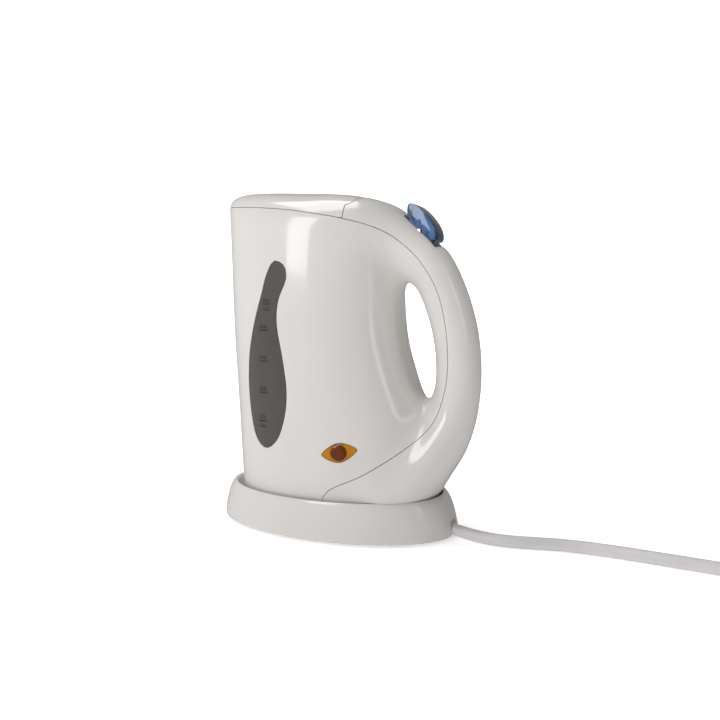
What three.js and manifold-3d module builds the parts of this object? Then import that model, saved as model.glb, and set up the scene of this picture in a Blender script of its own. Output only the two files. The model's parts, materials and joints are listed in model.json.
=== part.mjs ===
// Electric kettle: a small cordless jug kettle with a loop handle, standing on its oval power base.
// Millimetres, +Z up, the spout towards -X, the handle towards +X, the lamp side towards -Y.
import * as THREE from "three";
import { mergeVertices } from "three/addons/utils/BufferGeometryUtils.js";
import Module from "manifold-3d";

const wasm = await Module();
wasm.setup();

// ---- driving dimensions ----
const SHIFT = -2.7; // the finished model moves along X so that the origin is under its middle
const WINDOW_GROW = 1; // margin of the window opening round its middle outline
const WALL = 2.4; // moulded wall of the kettle
const GAP = 0.3; // air between two pieces that meet
const KETTLE_BOTTOM = 16; // lower edge of the kettle standing in the tray
const SKIN_TOLERANCE = 0.45; // how far the facets of the moulded skins may stray
const CUT_LEVEL = 11; // the smooth surfaces run on below the kettle to this height
const VESSEL_FLOOR = 24; // water side of the vessel floor
const TRAY_FLOOR = 15.6; // upper face of the tray in the base
const RIM_TOP = 22.6; // top of the rim round the tray
const BASE_EDGE = 1.5; // lower edge of the base, on its feet
const BLEND = 17; // size of the fillet where the handle grows out of the vessel
const CROWN_BLEND = 14; // rounding of the shoulder between the spout and the hinge
const GRIP_BLEND = 6; // rounding of the same edge at the spout and over the handle
const CROWN_RADIUS = 72; // cross curvature of the crown
const SUPER = 2.12; // exponent of the superelliptic sections
const HINGE_X = 15.5; // lid hinge axis
const HINGE_Z = 182.5;
const LID_HEEL = 10.75; // reach of the lid's lower rear corner about the hinge
const BARREL = 3.4; // radius of the rounded rear edge of the lid
const EAR_IN = 8; // the two hinge ears stand between these distances from the middle
const EAR_OUT = 12;
const ROCKER_X = 50; // pivot of the switch rocker
const ROCKER_Z = 165.4;
const ROCKER_HALF = 7.5; // half width of the rocker
const SOCKET_X = 38; // middle of the connector
const CORD_RADIUS = 3.2;
const COIL_X = 248; // middle of the coiled rest of the cord
const COIL_Y = 36;
const COIL_RADIUS = 38;
const BASE_X = -3.4; // middle of the base

// Vessel outline by height: height, front, rear, half width.
const VESSEL = [
  [10, -61.6, 54, 38.2],
  [25, -62.4, 54.4, 39],
  [45, -63.2, 53, 40],
  [65, -64.2, 52, 40.3],
  [85, -65.2, 45, 40.4],
  [105, -66.2, 39, 40.3],
  [125, -67.1, 36.6, 39.9],
  [160, -68.6, 36, 38.6],
  [180, -69.4, 36, 37],
  [200, -70.2, 37, 35.5],
];
// Height of the crown along the middle: x, height.
const CROWN = [
  [-90, 186.5],
  [-74, 190],
  [-52, 192.2],
  [-14, 189.8],
  [12, 187],
  [30, 182],
  [44, 174],
  [60, 160],
];
// Centre line of the handle: x, z, half width.
const HANDLE = [
  [-6, 164, 22],
  [14, 167, 20],
  [31, 166, 16.5],
  [46, 156.5, 14.5],
  [56, 144, 13.6],
  [63, 129, 13.2],
  [67.8, 113, 13],
  [70, 97, 13],
  [69.8, 80, 13.4],
  [66.8, 63, 16],
  [60, 47, 22],
  [50, 35, 26],
  [38, 27.5, 28],
];
const HANDLE_DEPTH = 12;
// The parting line between body, lid and handle cover, seen from the side.
const SEAM = [
  [-92, 187],
  [-67, 183.6],
  [-34, 179.6],
  [-13.4, 176.9],
  [2.6, 174],
  [15.3, 171.4],
  [28.5, 167.6],
  [37.5, 163],
  [51.4, 150.6],
  [60.3, 137.2],
  [64.8, 124.8],
  [67.6, 108],
  [67.9, 89.8],
  [65.6, 76.7],
  [60, 62.5],
  [48, 50.4],
  [29, 37],
  [14, 29.8],
  [8.6, 26],
  [7.2, 20],
  [7.2, 8],
];
// Water window, seen from the side.
const WINDOW = [
  [-20.6, 149],
  [-15.2, 146.2],
  [-14.2, 140.6],
  [-18.9, 129],
  [-20, 117],
  [-16.2, 97],
  [-13.9, 80],
  [-15.4, 66],
  [-21, 53],
  [-28.4, 48.5],
  [-35, 53],
  [-39, 65],
  [-40.4, 81],
  [-39, 98],
  [-35, 114],
  [-28.4, 133],
  [-25, 143],
];
// Cord route outside the base: x, y, z of hand-chosen points.
const CORD_ROUTE = [
  [44.5, 0, 7.6],
  [55, 0, 7.4],
  [63, -0.4, 5.8],
  [71, -1.6, 4.2],
  [84, -4.6, 3.4],
  [97, -5.4, 3.3],
  [110, -2.4, 3.3],
  [124, 1.6, 3.3],
  [142, 3.2, 3.3],
  [170, 1.8, 3.3],
  [198, -0.6, 3.3],
  [221.5, -2, 3.4],
];
const TAIL_ROUTE = [
  [274.7, -2, 10.4],
  [279, -2, 10.7],
  [286, -2, 14.4],
  [293, -2, 18.2],
  [298.4, -2, 18.6],
];
const PLUG = [299, -2, 18.6]; // where the cord enters the plug
// The switch rocker, seen from the side.
const ROCKER = [
  [44.4, 171.4],
  [43, 176],
  [43.6, 179.8],
  [45.6, 180.4],
  [50, 177.4],
  [54, 173.2],
  [57, 168.8],
  [58.6, 164.6],
  [58.2, 160.8],
  [56, 160],
  [53.4, 162.2],
  [50, 165.2],
  [46.8, 168.8],
];
// The lamp lens, seen from the side.
const LENS = [
  [7.6, 47.2],
  [11, 51],
  [16.6, 53.9],
  [22.4, 53.2],
  [26.4, 50.7],
  [23, 46.4],
  [17.4, 43.5],
  [11.6, 44.4],
];

// ---- small tools ----
// Value of a table at t: a smooth curve through its rows.
function through(table, t, column) {
  let i = 0;
  while (i < table.length - 2 && t > table[i + 1][0]) i += 1;
  const a = table[i];
  const b = table[i + 1];
  const before = table[Math.max(i - 1, 0)];
  const after = table[Math.min(i + 2, table.length - 1)];
  const length = b[0] - a[0];
  const u = Math.min(Math.max((t - a[0]) / length, 0), 1);
  const slopeA = ((b[column] - before[column]) / (b[0] - before[0])) * length;
  const slopeB = ((after[column] - a[column]) / (after[0] - a[0])) * length;
  const u2 = u * u;
  const u3 = u2 * u;
  return (
    (2 * u3 - 3 * u2 + 1) * a[column] +
    (u3 - 2 * u2 + u) * slopeA +
    (3 * u2 - 2 * u3) * b[column] +
    (u3 - u2) * slopeB
  );
}

function smoothStep(from, to, t) {
  const u = Math.min(Math.max((t - from) / (to - from), 0), 1);
  return u * u * (3 - 2 * u);
}

function smoothMin(a, b, k) {
  const h = Math.min(Math.max(0.5 + (0.5 * (b - a)) / k, 0), 1);
  return b + (a - b) * h - k * h * (1 - h);
}

function smoothMax(a, b, k) {
  return -smoothMin(-a, -b, k);
}

// ---- the kettle's shape as a distance: negative inside ----
function vesselDistance(x, y, z) {
  const front = through(VESSEL, z, 1);
  const rear = through(VESSEL, z, 2);
  const b = through(VESSEL, z, 3);
  const a = (rear - front) / 2;
  const u = Math.abs(x - (rear + front) / 2) / a;
  const v = Math.abs(y) / b;
  const rho = Math.pow(Math.pow(u, SUPER) + Math.pow(v, SUPER), 1 / SUPER) + 1e-9;
  const gu = Math.pow(u / rho, SUPER - 1) / a;
  const gv = Math.pow(v / rho, SUPER - 1) / b;
  const lip = 3.2 * smoothStep(150, 188, z) * Math.exp(-((y / 13) ** 2)) * smoothStep(-30, -60, x);
  return (rho - 1) / Math.hypot(gu, gv) - lip;
}

function centreLine() {
  const points = HANDLE.map((p) => new THREE.Vector3(p[0], p[2], p[1]));
  return new THREE.CatmullRomCurve3(points, false, "centripetal").getPoints(48);
}
const LINE = centreLine();

function handleDistance(x, y, z) {
  let best = Infinity;
  let half = 0;
  for (let i = 0; i < LINE.length - 1; i += 1) {
    const p = LINE[i];
    const q = LINE[i + 1];
    const dx = q.x - p.x;
    const dz = q.z - p.z;
    const along = ((x - p.x) * dx + (z - p.z) * dz) / (dx * dx + dz * dz);
    const t = Math.min(Math.max(along, 0), 1);
    const d = Math.hypot(x - p.x - t * dx, z - p.z - t * dz);
    if (d < best) {
      best = d;
      half = p.y + t * (q.y - p.y);
    }
  }
  const u = best / HANDLE_DEPTH;
  const v = Math.abs(y) / half;
  const rho = Math.hypot(u, v) + 1e-9;
  return (rho - 1) / Math.hypot(u / rho / HANDLE_DEPTH, v / rho / half);
}

function crownDistance(x, y, z) {
  return z - through(CROWN, x, 1) + (y * y) / (2 * CROWN_RADIUS);
}

function shoulder(x) {
  const full = smoothStep(-74, -50, x) * (1 - smoothStep(5, 30, x));
  return GRIP_BLEND + (CROWN_BLEND - GRIP_BLEND) * full;
}

function kettleDistance(x, y, z) {
  const sides = smoothMin(vesselDistance(x, y, z), handleDistance(x, y, z), BLEND);
  return Math.max(smoothMax(sides, crownDistance(x, y, z), shoulder(x)), CUT_LEVEL - z);
}

function potDistance(x, y, z) {
  const sides = vesselDistance(x, y, z);
  return Math.max(smoothMax(sides, crownDistance(x, y, z), shoulder(x)), CUT_LEVEL - z);
}

// ---- solids ----
function solid(geometry) {
  const plain = geometry.clone();
  for (const name of ["normal", "uv"]) plain.deleteAttribute(name);
  const merged = mergeVertices(plain, 1e-4);
  const vertProperties = new Float32Array(merged.attributes.position.array);
  const triVerts = new Uint32Array(merged.index.array);
  return new wasm.Manifold(new wasm.Mesh({ numProp: 3, vertProperties, triVerts }));
}

// The closed surface where a distance is zero, on a grid, its corners moved onto the surface.
function skin(distance, low, high, step) {
  const count = [0, 1, 2].map((i) => Math.ceil((high[i] - low[i]) / step) + 1);
  const at = (i, j, k) => (i * count[1] + j) * count[2] + k;
  const place = (i, axis) => low[axis] + i * step;
  const value = new Float64Array(count[0] * count[1] * count[2]);
  for (let i = 0; i < count[0]; i += 1)
    for (let j = 0; j < count[1]; j += 1)
      for (let k = 0; k < count[2]; k += 1)
        value[at(i, j, k)] = distance(place(i, 0), place(j, 1), place(k, 2));
  const corner = new Map();
  const position = [];
  const index = [];
  const cell = (i, j, k) => {
    const key = at(i, j, k);
    if (!corner.has(key)) {
      corner.set(key, position.length / 3);
      position.push(...settle(middle(i, j, k)));
    }
    return corner.get(key);
  };
  const middle = (i, j, k) => {
    const sum = [0, 0, 0];
    let hits = 0;
    for (let axis = 0; axis < 3; axis += 1)
      for (let m = 0; m < 4; m += 1) {
        const a = [i, j, k];
        a[(axis + 1) % 3] += m & 1;
        a[(axis + 2) % 3] += m >> 1;
        const b = a.slice();
        b[axis] += 1;
        const va = value[at(...a)];
        const vb = value[at(...b)];
        if (va < 0 === vb < 0) continue;
        const t = va / (va - vb);
        for (let c = 0; c < 3; c += 1) sum[c] += place(a[c] + t * (b[c] - a[c]), c);
        hits += 1;
      }
    return sum.map((s) => s / hits);
  };
  const settle = (p) => {
    const e = 0.05;
    for (let round = 0; round < 2; round += 1) {
      const [x, y, z] = p;
      const d = distance(x, y, z);
      const g = [
        (distance(x + e, y, z) - distance(x - e, y, z)) / (2 * e),
        (distance(x, y + e, z) - distance(x, y - e, z)) / (2 * e),
        (distance(x, y, z + e) - distance(x, y, z - e)) / (2 * e),
      ];
      const size = g[0] ** 2 + g[1] ** 2 + g[2] ** 2 + 1e-6;
      const move = Math.min(Math.max(d / size, -step / 3), step / 3);
      p = p.map((v, c) => v - g[c] * move);
    }
    return p;
  };
  for (let i = 1; i < count[0] - 1; i += 1)
    for (let j = 1; j < count[1] - 1; j += 1)
      for (let k = 1; k < count[2] - 1; k += 1)
        for (let axis = 0; axis < 3; axis += 1) {
          const a = [i, j, k];
          const b = a.slice();
          b[axis] += 1;
          const inside = value[at(...a)] < 0;
          if (inside === value[at(...b)] < 0) continue;
          const ring = [[0, 0], [1, 0], [1, 1], [0, 1]].map(([m, n]) => {
            const c = a.slice();
            c[(axis + 1) % 3] -= m;
            c[(axis + 2) % 3] -= n;
            return cell(...c);
          });
          if (!inside) ring.reverse();
          index.push(ring[0], ring[1], ring[2], ring[0], ring[2], ring[3]);
        }
  const geometry = new THREE.BufferGeometry();
  geometry.setAttribute("position", new THREE.Float32BufferAttribute(position, 3));
  geometry.setIndex(index);
  return solid(geometry).simplify(SKIN_TOLERANCE);
}

// A prism along Y over an outline given as [x, z] pairs.
function prismY(outline, from, to) {
  const shape = new THREE.Shape(outline.map((p) => new THREE.Vector2(p[0], p[1])));
  const geometry = new THREE.ExtrudeGeometry(shape, { depth: to - from, bevelEnabled: false });
  geometry.rotateX(Math.PI / 2);
  geometry.translate(0, to, 0);
  return solid(geometry);
}

function prismZ(outline, from, to) {
  const shape = new THREE.Shape(outline.map((p) => new THREE.Vector2(p[0], p[1])));
  const geometry = new THREE.ExtrudeGeometry(shape, { depth: to - from, bevelEnabled: false });
  geometry.translate(0, 0, from);
  return solid(geometry);
}

function box(x0, x1, y0, y1, z0, z1) {
  const geometry = new THREE.BoxGeometry(x1 - x0, y1 - y0, z1 - z0);
  geometry.translate((x0 + x1) / 2, (y0 + y1) / 2, (z0 + z1) / 2);
  return solid(geometry);
}

// A cylinder between two points.
function rod(from, to, radius, sides = 20) {
  const a = new THREE.Vector3(...from);
  const b = new THREE.Vector3(...to);
  const geometry = new THREE.CylinderGeometry(radius, radius, a.distanceTo(b), sides);
  const turn = new THREE.Quaternion().setFromUnitVectors(
    new THREE.Vector3(0, 1, 0),
    b.clone().sub(a).normalize(),
  );
  geometry.applyQuaternion(turn);
  geometry.translate((a.x + b.x) / 2, (a.y + b.y) / 2, (a.z + b.z) / 2);
  return solid(geometry);
}

function turned(profile, x, y, z, sides = 24) {
  const points = profile.map((p) => new THREE.Vector2(p[0], p[1]));
  const geometry = new THREE.LatheGeometry(points, sides);
  geometry.rotateX(Math.PI / 2);
  geometry.translate(x, y, z);
  return solid(geometry);
}

function tube(points, radius, sides, steps) {
  const path = new THREE.CatmullRomCurve3(points.map((p) => new THREE.Vector3(...p)), false, "centripetal");
  const section = new THREE.Shape();
  section.absarc(0, 0, radius, 0, 2 * Math.PI);
  const geometry = new THREE.ExtrudeGeometry(section, {
    steps,
    curveSegments: sides / 2,
    bevelEnabled: false,
    extrudePath: path,
  });
  return solid(geometry);
}

// A closed body through superelliptic rings [centre x, half length, half width, height]; it ends on the axis.
function loft(rings, sides = 48, power = 2.06) {
  const position = [];
  const index = [];
  for (const [cx, a, b, z] of rings)
    for (let i = 0; i < sides; i += 1) {
      const t = (2 * Math.PI * i) / sides;
      const c = Math.cos(t);
      const s = Math.sin(t);
      const reach = Math.pow(Math.abs(c) ** power + Math.abs(s) ** power, -1 / power);
      position.push(cx + a * c * reach, b * s * reach, z);
    }
  const first = rings[0];
  const last = rings[rings.length - 1];
  position.push(first[0], 0, first[3], last[0], 0, last[3]);
  const start = rings.length * sides;
  for (let i = 0; i < sides; i += 1) {
    const next = (i + 1) % sides;
    for (let r = 0; r < rings.length - 1; r += 1) {
      const p = r * sides;
      const q = p + sides;
      index.push(p + i, p + next, q + next, p + i, q + next, q + i);
    }
    const top = (rings.length - 1) * sides;
    index.push(start, next, i, start + 1, top + i, top + next);
  }
  const geometry = new THREE.BufferGeometry();
  geometry.setAttribute("position", new THREE.Float32BufferAttribute(position, 3));
  geometry.setIndex(index);
  return solid(geometry);
}

function curve2(points, steps, closed = false) {
  const path = new THREE.CatmullRomCurve3(
    points.map((p) => new THREE.Vector3(p[0], 0, p[1])),
    closed,
    "centripetal",
  );
  const found = path.getPoints(steps).map((p) => [p.x, p.z]);
  if (closed) found.pop();
  return found;
}

// The same outline grown (positive) or shrunk by a distance.
function offset(outline, by) {
  return outline.map((p, i) => {
    const a = outline[(i + outline.length - 1) % outline.length];
    const b = outline[(i + 1) % outline.length];
    const dx = b[0] - a[0];
    const dz = b[1] - a[1];
    const size = Math.hypot(dx, dz);
    return [p[0] + (by * dz) / size, p[1] - (by * dx) / size];
  });
}

// An open line moved sideways, positive to the left of its run.
function beside(line, by) {
  return line.map((p, i) => {
    const a = line[Math.max(i - 1, 0)];
    const b = line[Math.min(i + 1, line.length - 1)];
    const dx = b[0] - a[0];
    const dz = b[1] - a[1];
    const size = Math.hypot(dx, dz);
    return [p[0] - (by * dz) / size, p[1] + (by * dx) / size];
  });
}

// ---- shared bodies ----
const LOW = [-90, -52, -2];
const HIGH = [96, 52, 208];
// The foot of the kettle keeps clear of the rim that stands round it.
const foot = box(-100, 110, -60, 60, 5, RIM_TOP).subtract(loft([
  [BASE_X, 61.6, 39.2, 4],
  [BASE_X, 61.9, 39.4, RIM_TOP + 1],
]));
const outer = skin(kettleDistance, LOW, HIGH, 5)
  .intersect(box(-100, 110, -60, 60, KETTLE_BOTTOM, 210))
  .subtract(foot);
const inner = skin((x, y, z) => kettleDistance(x, y, z) + WALL, LOW, HIGH, 5.5);
const pot = skin((x, y, z) => potDistance(x, y, z) + WALL, LOW, HIGH, 6);
const potOutside = skin((x, y, z) => potDistance(x, y, z) + 0.1, LOW, HIGH, 6);
const seamLine = curve2(SEAM, 60);

const group = new THREE.Group();
group.name = "electric_kettle";
function add(name, body, colour, roughness = 0.4, metalness = 0) {
  const data = body.getMesh();
  const geometry = new THREE.BufferGeometry();
  geometry.setAttribute("position", new THREE.BufferAttribute(new Float32Array(data.vertProperties), 3));
  geometry.setIndex(new THREE.BufferAttribute(new Uint32Array(data.triVerts), 1));
  geometry.translate(SHIFT, 0, 0);
  geometry.computeVertexNormals();
  const finish = new THREE.MeshStandardMaterial({ color: colour, roughness, metalness });
  const mesh = new THREE.Mesh(geometry, finish);
  mesh.name = name;
  group.add(mesh);
}

// Side outlines. Every seam keeps half of GAP on either side.
const SEAM_TOP = 205;
const SIDE = 60;
const BODY_OUTLINE = [...beside(seamLine, -GAP / 2), [-92, 6]];
const bodySide = prismY(BODY_OUTLINE, -SIDE, SIDE);
const beyondSeam = box(-100, 110, -SIDE, SIDE, 4, 215).subtract(
  prismY([...beside(seamLine, GAP / 2), [-92, 6]], -SIDE, SIDE),
);
const hingeBarrel = (radius) => rod([HINGE_X, -SIDE, HINGE_Z], [HINGE_X, SIDE, HINGE_Z], radius, 28);

// The wet space: the whole vessel, its rear lower corner walled off for the control unit,
// its top under the handle closed by a deck, and its mouth open under the lid.
const DRY_X = 4;
const DRY_TOP = 57;
const MOUTH_REAR = 12.6;
function wetSpace() {
  const deck = beside(seamLine, -3).filter((p) => p[0] > MOUTH_REAR && p[1] > 95);
  const outline = [
    [-90, VESSEL_FLOOR],
    [DRY_X, VESSEL_FLOOR],
    [DRY_X, DRY_TOP],
    [DRY_X + 6, DRY_TOP + 5],
    [46, DRY_TOP + 9],
    [60, DRY_TOP + 11],
    ...deck.reverse(),
    [MOUTH_REAR, SEAM_TOP],
    [-90, SEAM_TOP],
  ];
  return pot.intersect(prismY(outline, -SIDE, SIDE));
}

// The dry space in the body: under the floor, behind the wet space and inside the handle.
function drySpace() {
  const corner = prismY(
    [
      [DRY_X + 3, KETTLE_BOTTOM - 4],
      [80, KETTLE_BOTTOM - 4],
      [80, DRY_TOP + 9],
      [47, DRY_TOP + 5.6],
      [DRY_X + 7.6, DRY_TOP + 1.2],
      [DRY_X + 3, DRY_TOP - 2],
    ],
    -SIDE,
    SIDE,
  );
  const under = box(-90, 80, -SIDE, SIDE, KETTLE_BOTTOM - 4, VESSEL_FLOOR - 3);
  const behind = box(-10, 100, -SIDE, SIDE, DRY_TOP, 190).subtract(potOutside);
  return inner.intersect(corner.add(under).add(behind));
}

function windowPrism(by, low, high) {
  return prismY(offset(curve2(WINDOW, 44, true), by - WINDOW_GROW), low, high);
}

function lensPrism(by, low, high) {
  return prismY(offset(curve2(LENS, 28, true), by), low, high);
}

// Three blind pillars under the vessel floor take the screws of the bottom cover.
const PILLARS = [
  [-48, 0],
  [-12, 25],
  [-12, -25],
];
function bodyShell() {
  let body = outer
    .intersect(bodySide)
    .subtract(wetSpace())
    .subtract(drySpace())
    .subtract(windowPrism(0, -SIDE, -20))
    .subtract(windowPrism(0, 20, SIDE))
    .subtract(lensPrism(0, -SIDE, -20))
    .subtract(rod([DRY_X - 1, 0, 40], [DRY_X + 4, 0, 40], 12.5, 32));
  for (const [x, y] of PILLARS) {
    body = body.add(rod([x, y, 19], [x, y, VESSEL_FLOOR - 2], 3.6));
    body = body.subtract(rod([x, y, 18], [x, y, VESSEL_FLOOR - 1.4], 1.5, 12));
  }
  return body;
}

function lidCover() {
  const top = box(0, 40, -SIDE, SIDE, HINGE_Z - BARREL - 1, SEAM_TOP);
  const rear = hingeBarrel(LID_HEEL).intersect(box(HINGE_X - 4.2, HINGE_X, -SIDE, SIDE, 160, SEAM_TOP));
  const front = box(-100, HINGE_X - 4, -SIDE, SIDE, 160, SEAM_TOP);
  const region = front.add(rear).add(hingeBarrel(BARREL).intersect(top));
  const hollow = inner.intersect(box(-100, HINGE_X - 4.6, -SIDE, SIDE, 150, SEAM_TOP));
  const notch = box(HINGE_X - 4.2, HINGE_X + 9, EAR_IN - GAP, EAR_OUT + GAP, 150, SEAM_TOP);
  return outer
    .intersect(beyondSeam)
    .intersect(region)
    .subtract(hollow)
    .subtract(notch)
    .subtract(notch.mirror([0, 1, 0]))
    .subtract(rod([HINGE_X, -EAR_OUT - 2, HINGE_Z], [HINGE_X, EAR_OUT + 2, HINGE_Z], 1.5));
}

// A dish that hangs from the lid into the mouth of the vessel.
const liningShell = skin((x, y, z) => potDistance(x, y, z) + WALL + 0.8, LOW, HIGH, 6);
const liningHollow = skin((x, y, z) => potDistance(x, y, z) + WALL + 2.6, LOW, HIGH, 6);
function lidLiner() {
  const lid = seamLine.filter((p) => p[0] < 20 && p[1] > 100);
  const strip = (low, high) => [...beside(lid, -low), ...beside(lid, -high).reverse()];
  const band = (low, high) => prismY(strip(low, high), -SIDE, SIDE);
  const low = band(6, 0.4).intersect(box(-100, MOUTH_REAR - 0.6, -SIDE, SIDE, 150, 200));
  const high = band(1, -1).intersect(box(-100, HINGE_X - 5.2, -SIDE, SIDE, 150, 200));
  const lower = liningShell.translate([0, 0, -4]);
  const narrow = liningShell.intersect(lower).intersect(lower.translate([0, 0, -4]));
  const dish = narrow.intersect(low.add(high));
  const mouth = box(-100, MOUTH_REAR - 2.4, -SIDE, SIDE, 150, 200);
  const well = liningHollow.intersect(band(4, -4)).intersect(mouth);
  return dish.subtract(well);
}

function rockerSlot() {
  return prismY(ROCKER_SLOT, -ROCKER_HALF - 0.5, ROCKER_HALF + 0.5);
}

function bothSides(body) {
  return body.add(body.mirror([0, 1, 0]));
}

function handleCover() {
  const front = HINGE_X + 0.5;
  const low = box(-20, 110, -SIDE, SIDE, 6, 100);
  const hollow = inner.intersect(box(front + 3, 110, -SIDE, SIDE, 6, SEAM_TOP).add(low));
  const knuckle = rod([HINGE_X, EAR_IN, HINGE_Z], [HINGE_X, EAR_OUT, HINGE_Z], BARREL, 28);
  const ears = bothSides(box(HINGE_X, front + 5, EAR_IN, EAR_OUT, HINGE_Z - 3.4, SEAM_TOP).add(knuckle));
  const lidEdgePath = hingeBarrel(BARREL + 1.3).intersect(box(0, 40, -SIDE, SIDE, HINGE_Z + 0.6, SEAM_TOP));
  const lug = box(ROCKER_X - 3.4, ROCKER_X + 3.4, ROCKER_HALF + 0.5, ROCKER_HALF + 3, ROCKER_Z - 4, 180);
  const lugs = bothSides(lug);
  const region = box(front, 110, -SIDE, SIDE, 6, SEAM_TOP).add(low);
  const barrelRoom = hingeBarrel(BARREL + 0.4).add(lidEdgePath);
  const shell = region.subtract(barrelRoom).subtract(hollow).subtract(rockerSlot());
  const hingeHole = rod([HINGE_X, -EAR_OUT + 1, HINGE_Z], [HINGE_X, EAR_OUT - 1, HINGE_Z], 1.5);
  const reach = ROCKER_HALF + 1.5;
  const pinHole = rod([ROCKER_X, -reach, ROCKER_Z], [ROCKER_X, reach, ROCKER_Z], 1.5);
  const cover = outer.intersect(beyondSeam).intersect(shell.add(ears).add(lugs));
  return cover.subtract(hingeHole).subtract(pinHole);
}

function rocker() {
  const shape = prismY(curve2(ROCKER, 40, true), -ROCKER_HALF, ROCKER_HALF);
  const boss = rod([ROCKER_X, -ROCKER_HALF, ROCKER_Z], [ROCKER_X, ROCKER_HALF, ROCKER_Z], 3);
  return shape.add(boss).subtract(rod([ROCKER_X, -9, ROCKER_Z], [ROCKER_X, 9, ROCKER_Z], 1.4));
}

// ---- the control unit and the heating element ----
function elementTube() {
  const legs = [
    [0.3, 8, 38],
    [-5, 8, 38],
    [-12, 10, 34],
    [-20, 16, 30],
    [-34, 20, 28.6],
    [-49, 12, 28.6],
  ];
  const back = legs.map((p) => [p[0], -p[1], p[2]]).reverse();
  return tube([...legs, ...back], 3.1, 8, 32);
}

function elementFlange() {
  return rod([0.7, 0, 40], [2.7, 0, 40], 15, 32).add(rod([2, 0, 40], [9.4, 0, 40], 12, 32));
}

function elementGasket() {
  return rod([3, 0, 40], [3.7, 0, 40], 14.6, 32).subtract(rod([2, 0, 40], [5, 0, 40], 12.4, 32));
}

function controller() {
  const head = box(9.8, 21, -15, 15, 28, 53);
  return head.add(box(20, 51, -13, 13, 28.4, 37));
}

// ---- the power base ----
function baseCover() {
  let body = loft([
    [BASE_X, 60.6, 37.4, TRAY_FLOOR - 2],
    [BASE_X, 66.4, 40, TRAY_FLOOR - 2.4],
    [BASE_X, 68.2, 40.6, 9],
    [BASE_X, 70, 41.2, 4],
    [BASE_X, 70.2, 41.3, BASE_EDGE],
    [BASE_X, 72.2, 43.3, BASE_EDGE],
    [BASE_X, 72.5, 43.5, 3],
    [BASE_X, 71.8, 43.2, 8],
    [BASE_X, 70.2, 42.9, 14],
    [BASE_X, 68.2, 42.5, 19],
    [BASE_X, 66.4, 42.1, 21.6],
    [BASE_X, 65, 41.6, RIM_TOP],
    [BASE_X, 64.2, 41.1, RIM_TOP],
    [BASE_X, 63.4, 40.5, RIM_TOP - 0.9],
    [BASE_X, 62.6, 40.1, TRAY_FLOOR],
  ]);
  for (const [x, y] of BASE_SCREWS) {
    body = body.add(rod([x, y, 3.6], [x, y, TRAY_FLOOR - 1], 4, 16));
    body = body.subtract(rod([x, y, 1], [x, y, 11], 1.5, 12));
  }
  const arch = rod([52, 0, 5.6], [80, 0, 5.6], 4.8, 24).add(box(52, 80, -4.8, 4.8, -2, 5.6));
  const edge = rod([65.4, 0, 5.6], [67, 0, 5.6], 6.4, 24).intersect(box(60, 70, -7, 7, BASE_EDGE, 13));
  return body.add(edge).subtract(arch);
}
const BASE_SCREWS = [
  [-52, 0],
  [18, 27],
  [18, -27],
];
const FEET = [
  [42, 19],
  [42, -19],
  [-44, 19],
  [-44, -19],
];
const FOOT_RADIUS = 8.5;
function basePlate() {
  let plate = loft([
    [BASE_X, 69.4, 40.5, 1.6],
    [BASE_X, 69.4, 40.5, 3.3],
  ]);
  for (const [x, y] of BASE_SCREWS) {
    plate = plate.subtract(rod([x, y, 1], [x, y, 2.5], 3.5, 16));
    plate = plate.subtract(rod([x, y, 1], [x, y, 4], 1.7, 12));
  }
  for (const [x, y] of FEET) plate = plate.subtract(rod([x, y, 1], [x, y, 2.4], FOOT_RADIUS + 0.5, 16));
  return plate.subtract(box(54, 80, -7.2, 7.2, 0, 5));
}

function screw(x, y, z, length) {
  const profile = [
    [0, 0],
    [2.9, 0],
    [2.9, 0.7],
    [1.2, 0.7],
    [1.2, length],
    [0, length],
  ];
  return turned(profile, x, y, z, 12);
}

const CONTACTS = [-6.5, 0, 6.5];
function socket() {
  let block = box(SOCKET_X - 9, SOCKET_X + 9, -11, 11, TRAY_FLOOR + GAP, 27);
  for (const y of CONTACTS) {
    block = block.subtract(box(SOCKET_X - 4, SOCKET_X + 4, y - 1.6, y + 1.6, 17.4, 30));
  }
  return block;
}

function bottomCover() {
  let plate = loft([
    [-2.95, 55.8, 35.2, 16.3],
    [-2.95, 55.8, 35.2, 18.4],
  ]);
  plate = plate.subtract(box(SOCKET_X - 10.4, SOCKET_X + 10.4, -12.4, 12.4, 10, 25));
  for (const [x, y] of PILLARS) {
    plate = plate.subtract(rod([x, y, 15], [x, y, 17.4], 3.4, 16));
    plate = plate.subtract(rod([x, y, 15], [x, y, 20], 1.6, 12));
  }
  return plate;
}

// ---- filter, cord and plug ----
function filterFrame() {
  return box(-57, -55, -17, 17, 148, 172).subtract(box(-59, -53, -14.6, 14.6, 150.4, 169.6));
}

function filterMesh() {
  let mesh = box(-56.5, -55.5, -14.3, 14.3, 150.7, 169.3);
  for (let i = 0; i < 5; i += 1)
    for (let k = 0; k < 4; k += 1) {
      const y = -13.4 + i * 5.5;
      const z = 151.6 + k * 4.4;
      mesh = mesh.subtract(box(-58, -54, y, y + 4.8, z, z + 3.6));
    }
  return mesh;
}

function cordCoil() {
  const points = [];
  for (let i = 0; i <= 10; i += 1) {
    const t = (2 * Math.PI * i) / 10;
    points.push(new THREE.Vector2(COIL_RADIUS + 3.3 * Math.cos(t), 6.8 + 6.6 * Math.sin(t)));
  }
  const geometry = new THREE.LatheGeometry(points, 32);
  geometry.rotateX(Math.PI / 2);
  geometry.translate(COIL_X, COIL_Y, 0);
  const side = COIL_Y - COIL_RADIUS;
  const low = rod([221.8, side, 3.4], [COIL_X, side, 3.4], CORD_RADIUS, 12);
  const high = rod([COIL_X, side, 10.4], [274.2, side, 10.4], CORD_RADIUS, 12);
  return solid(geometry).add(low).add(high);
}

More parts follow.
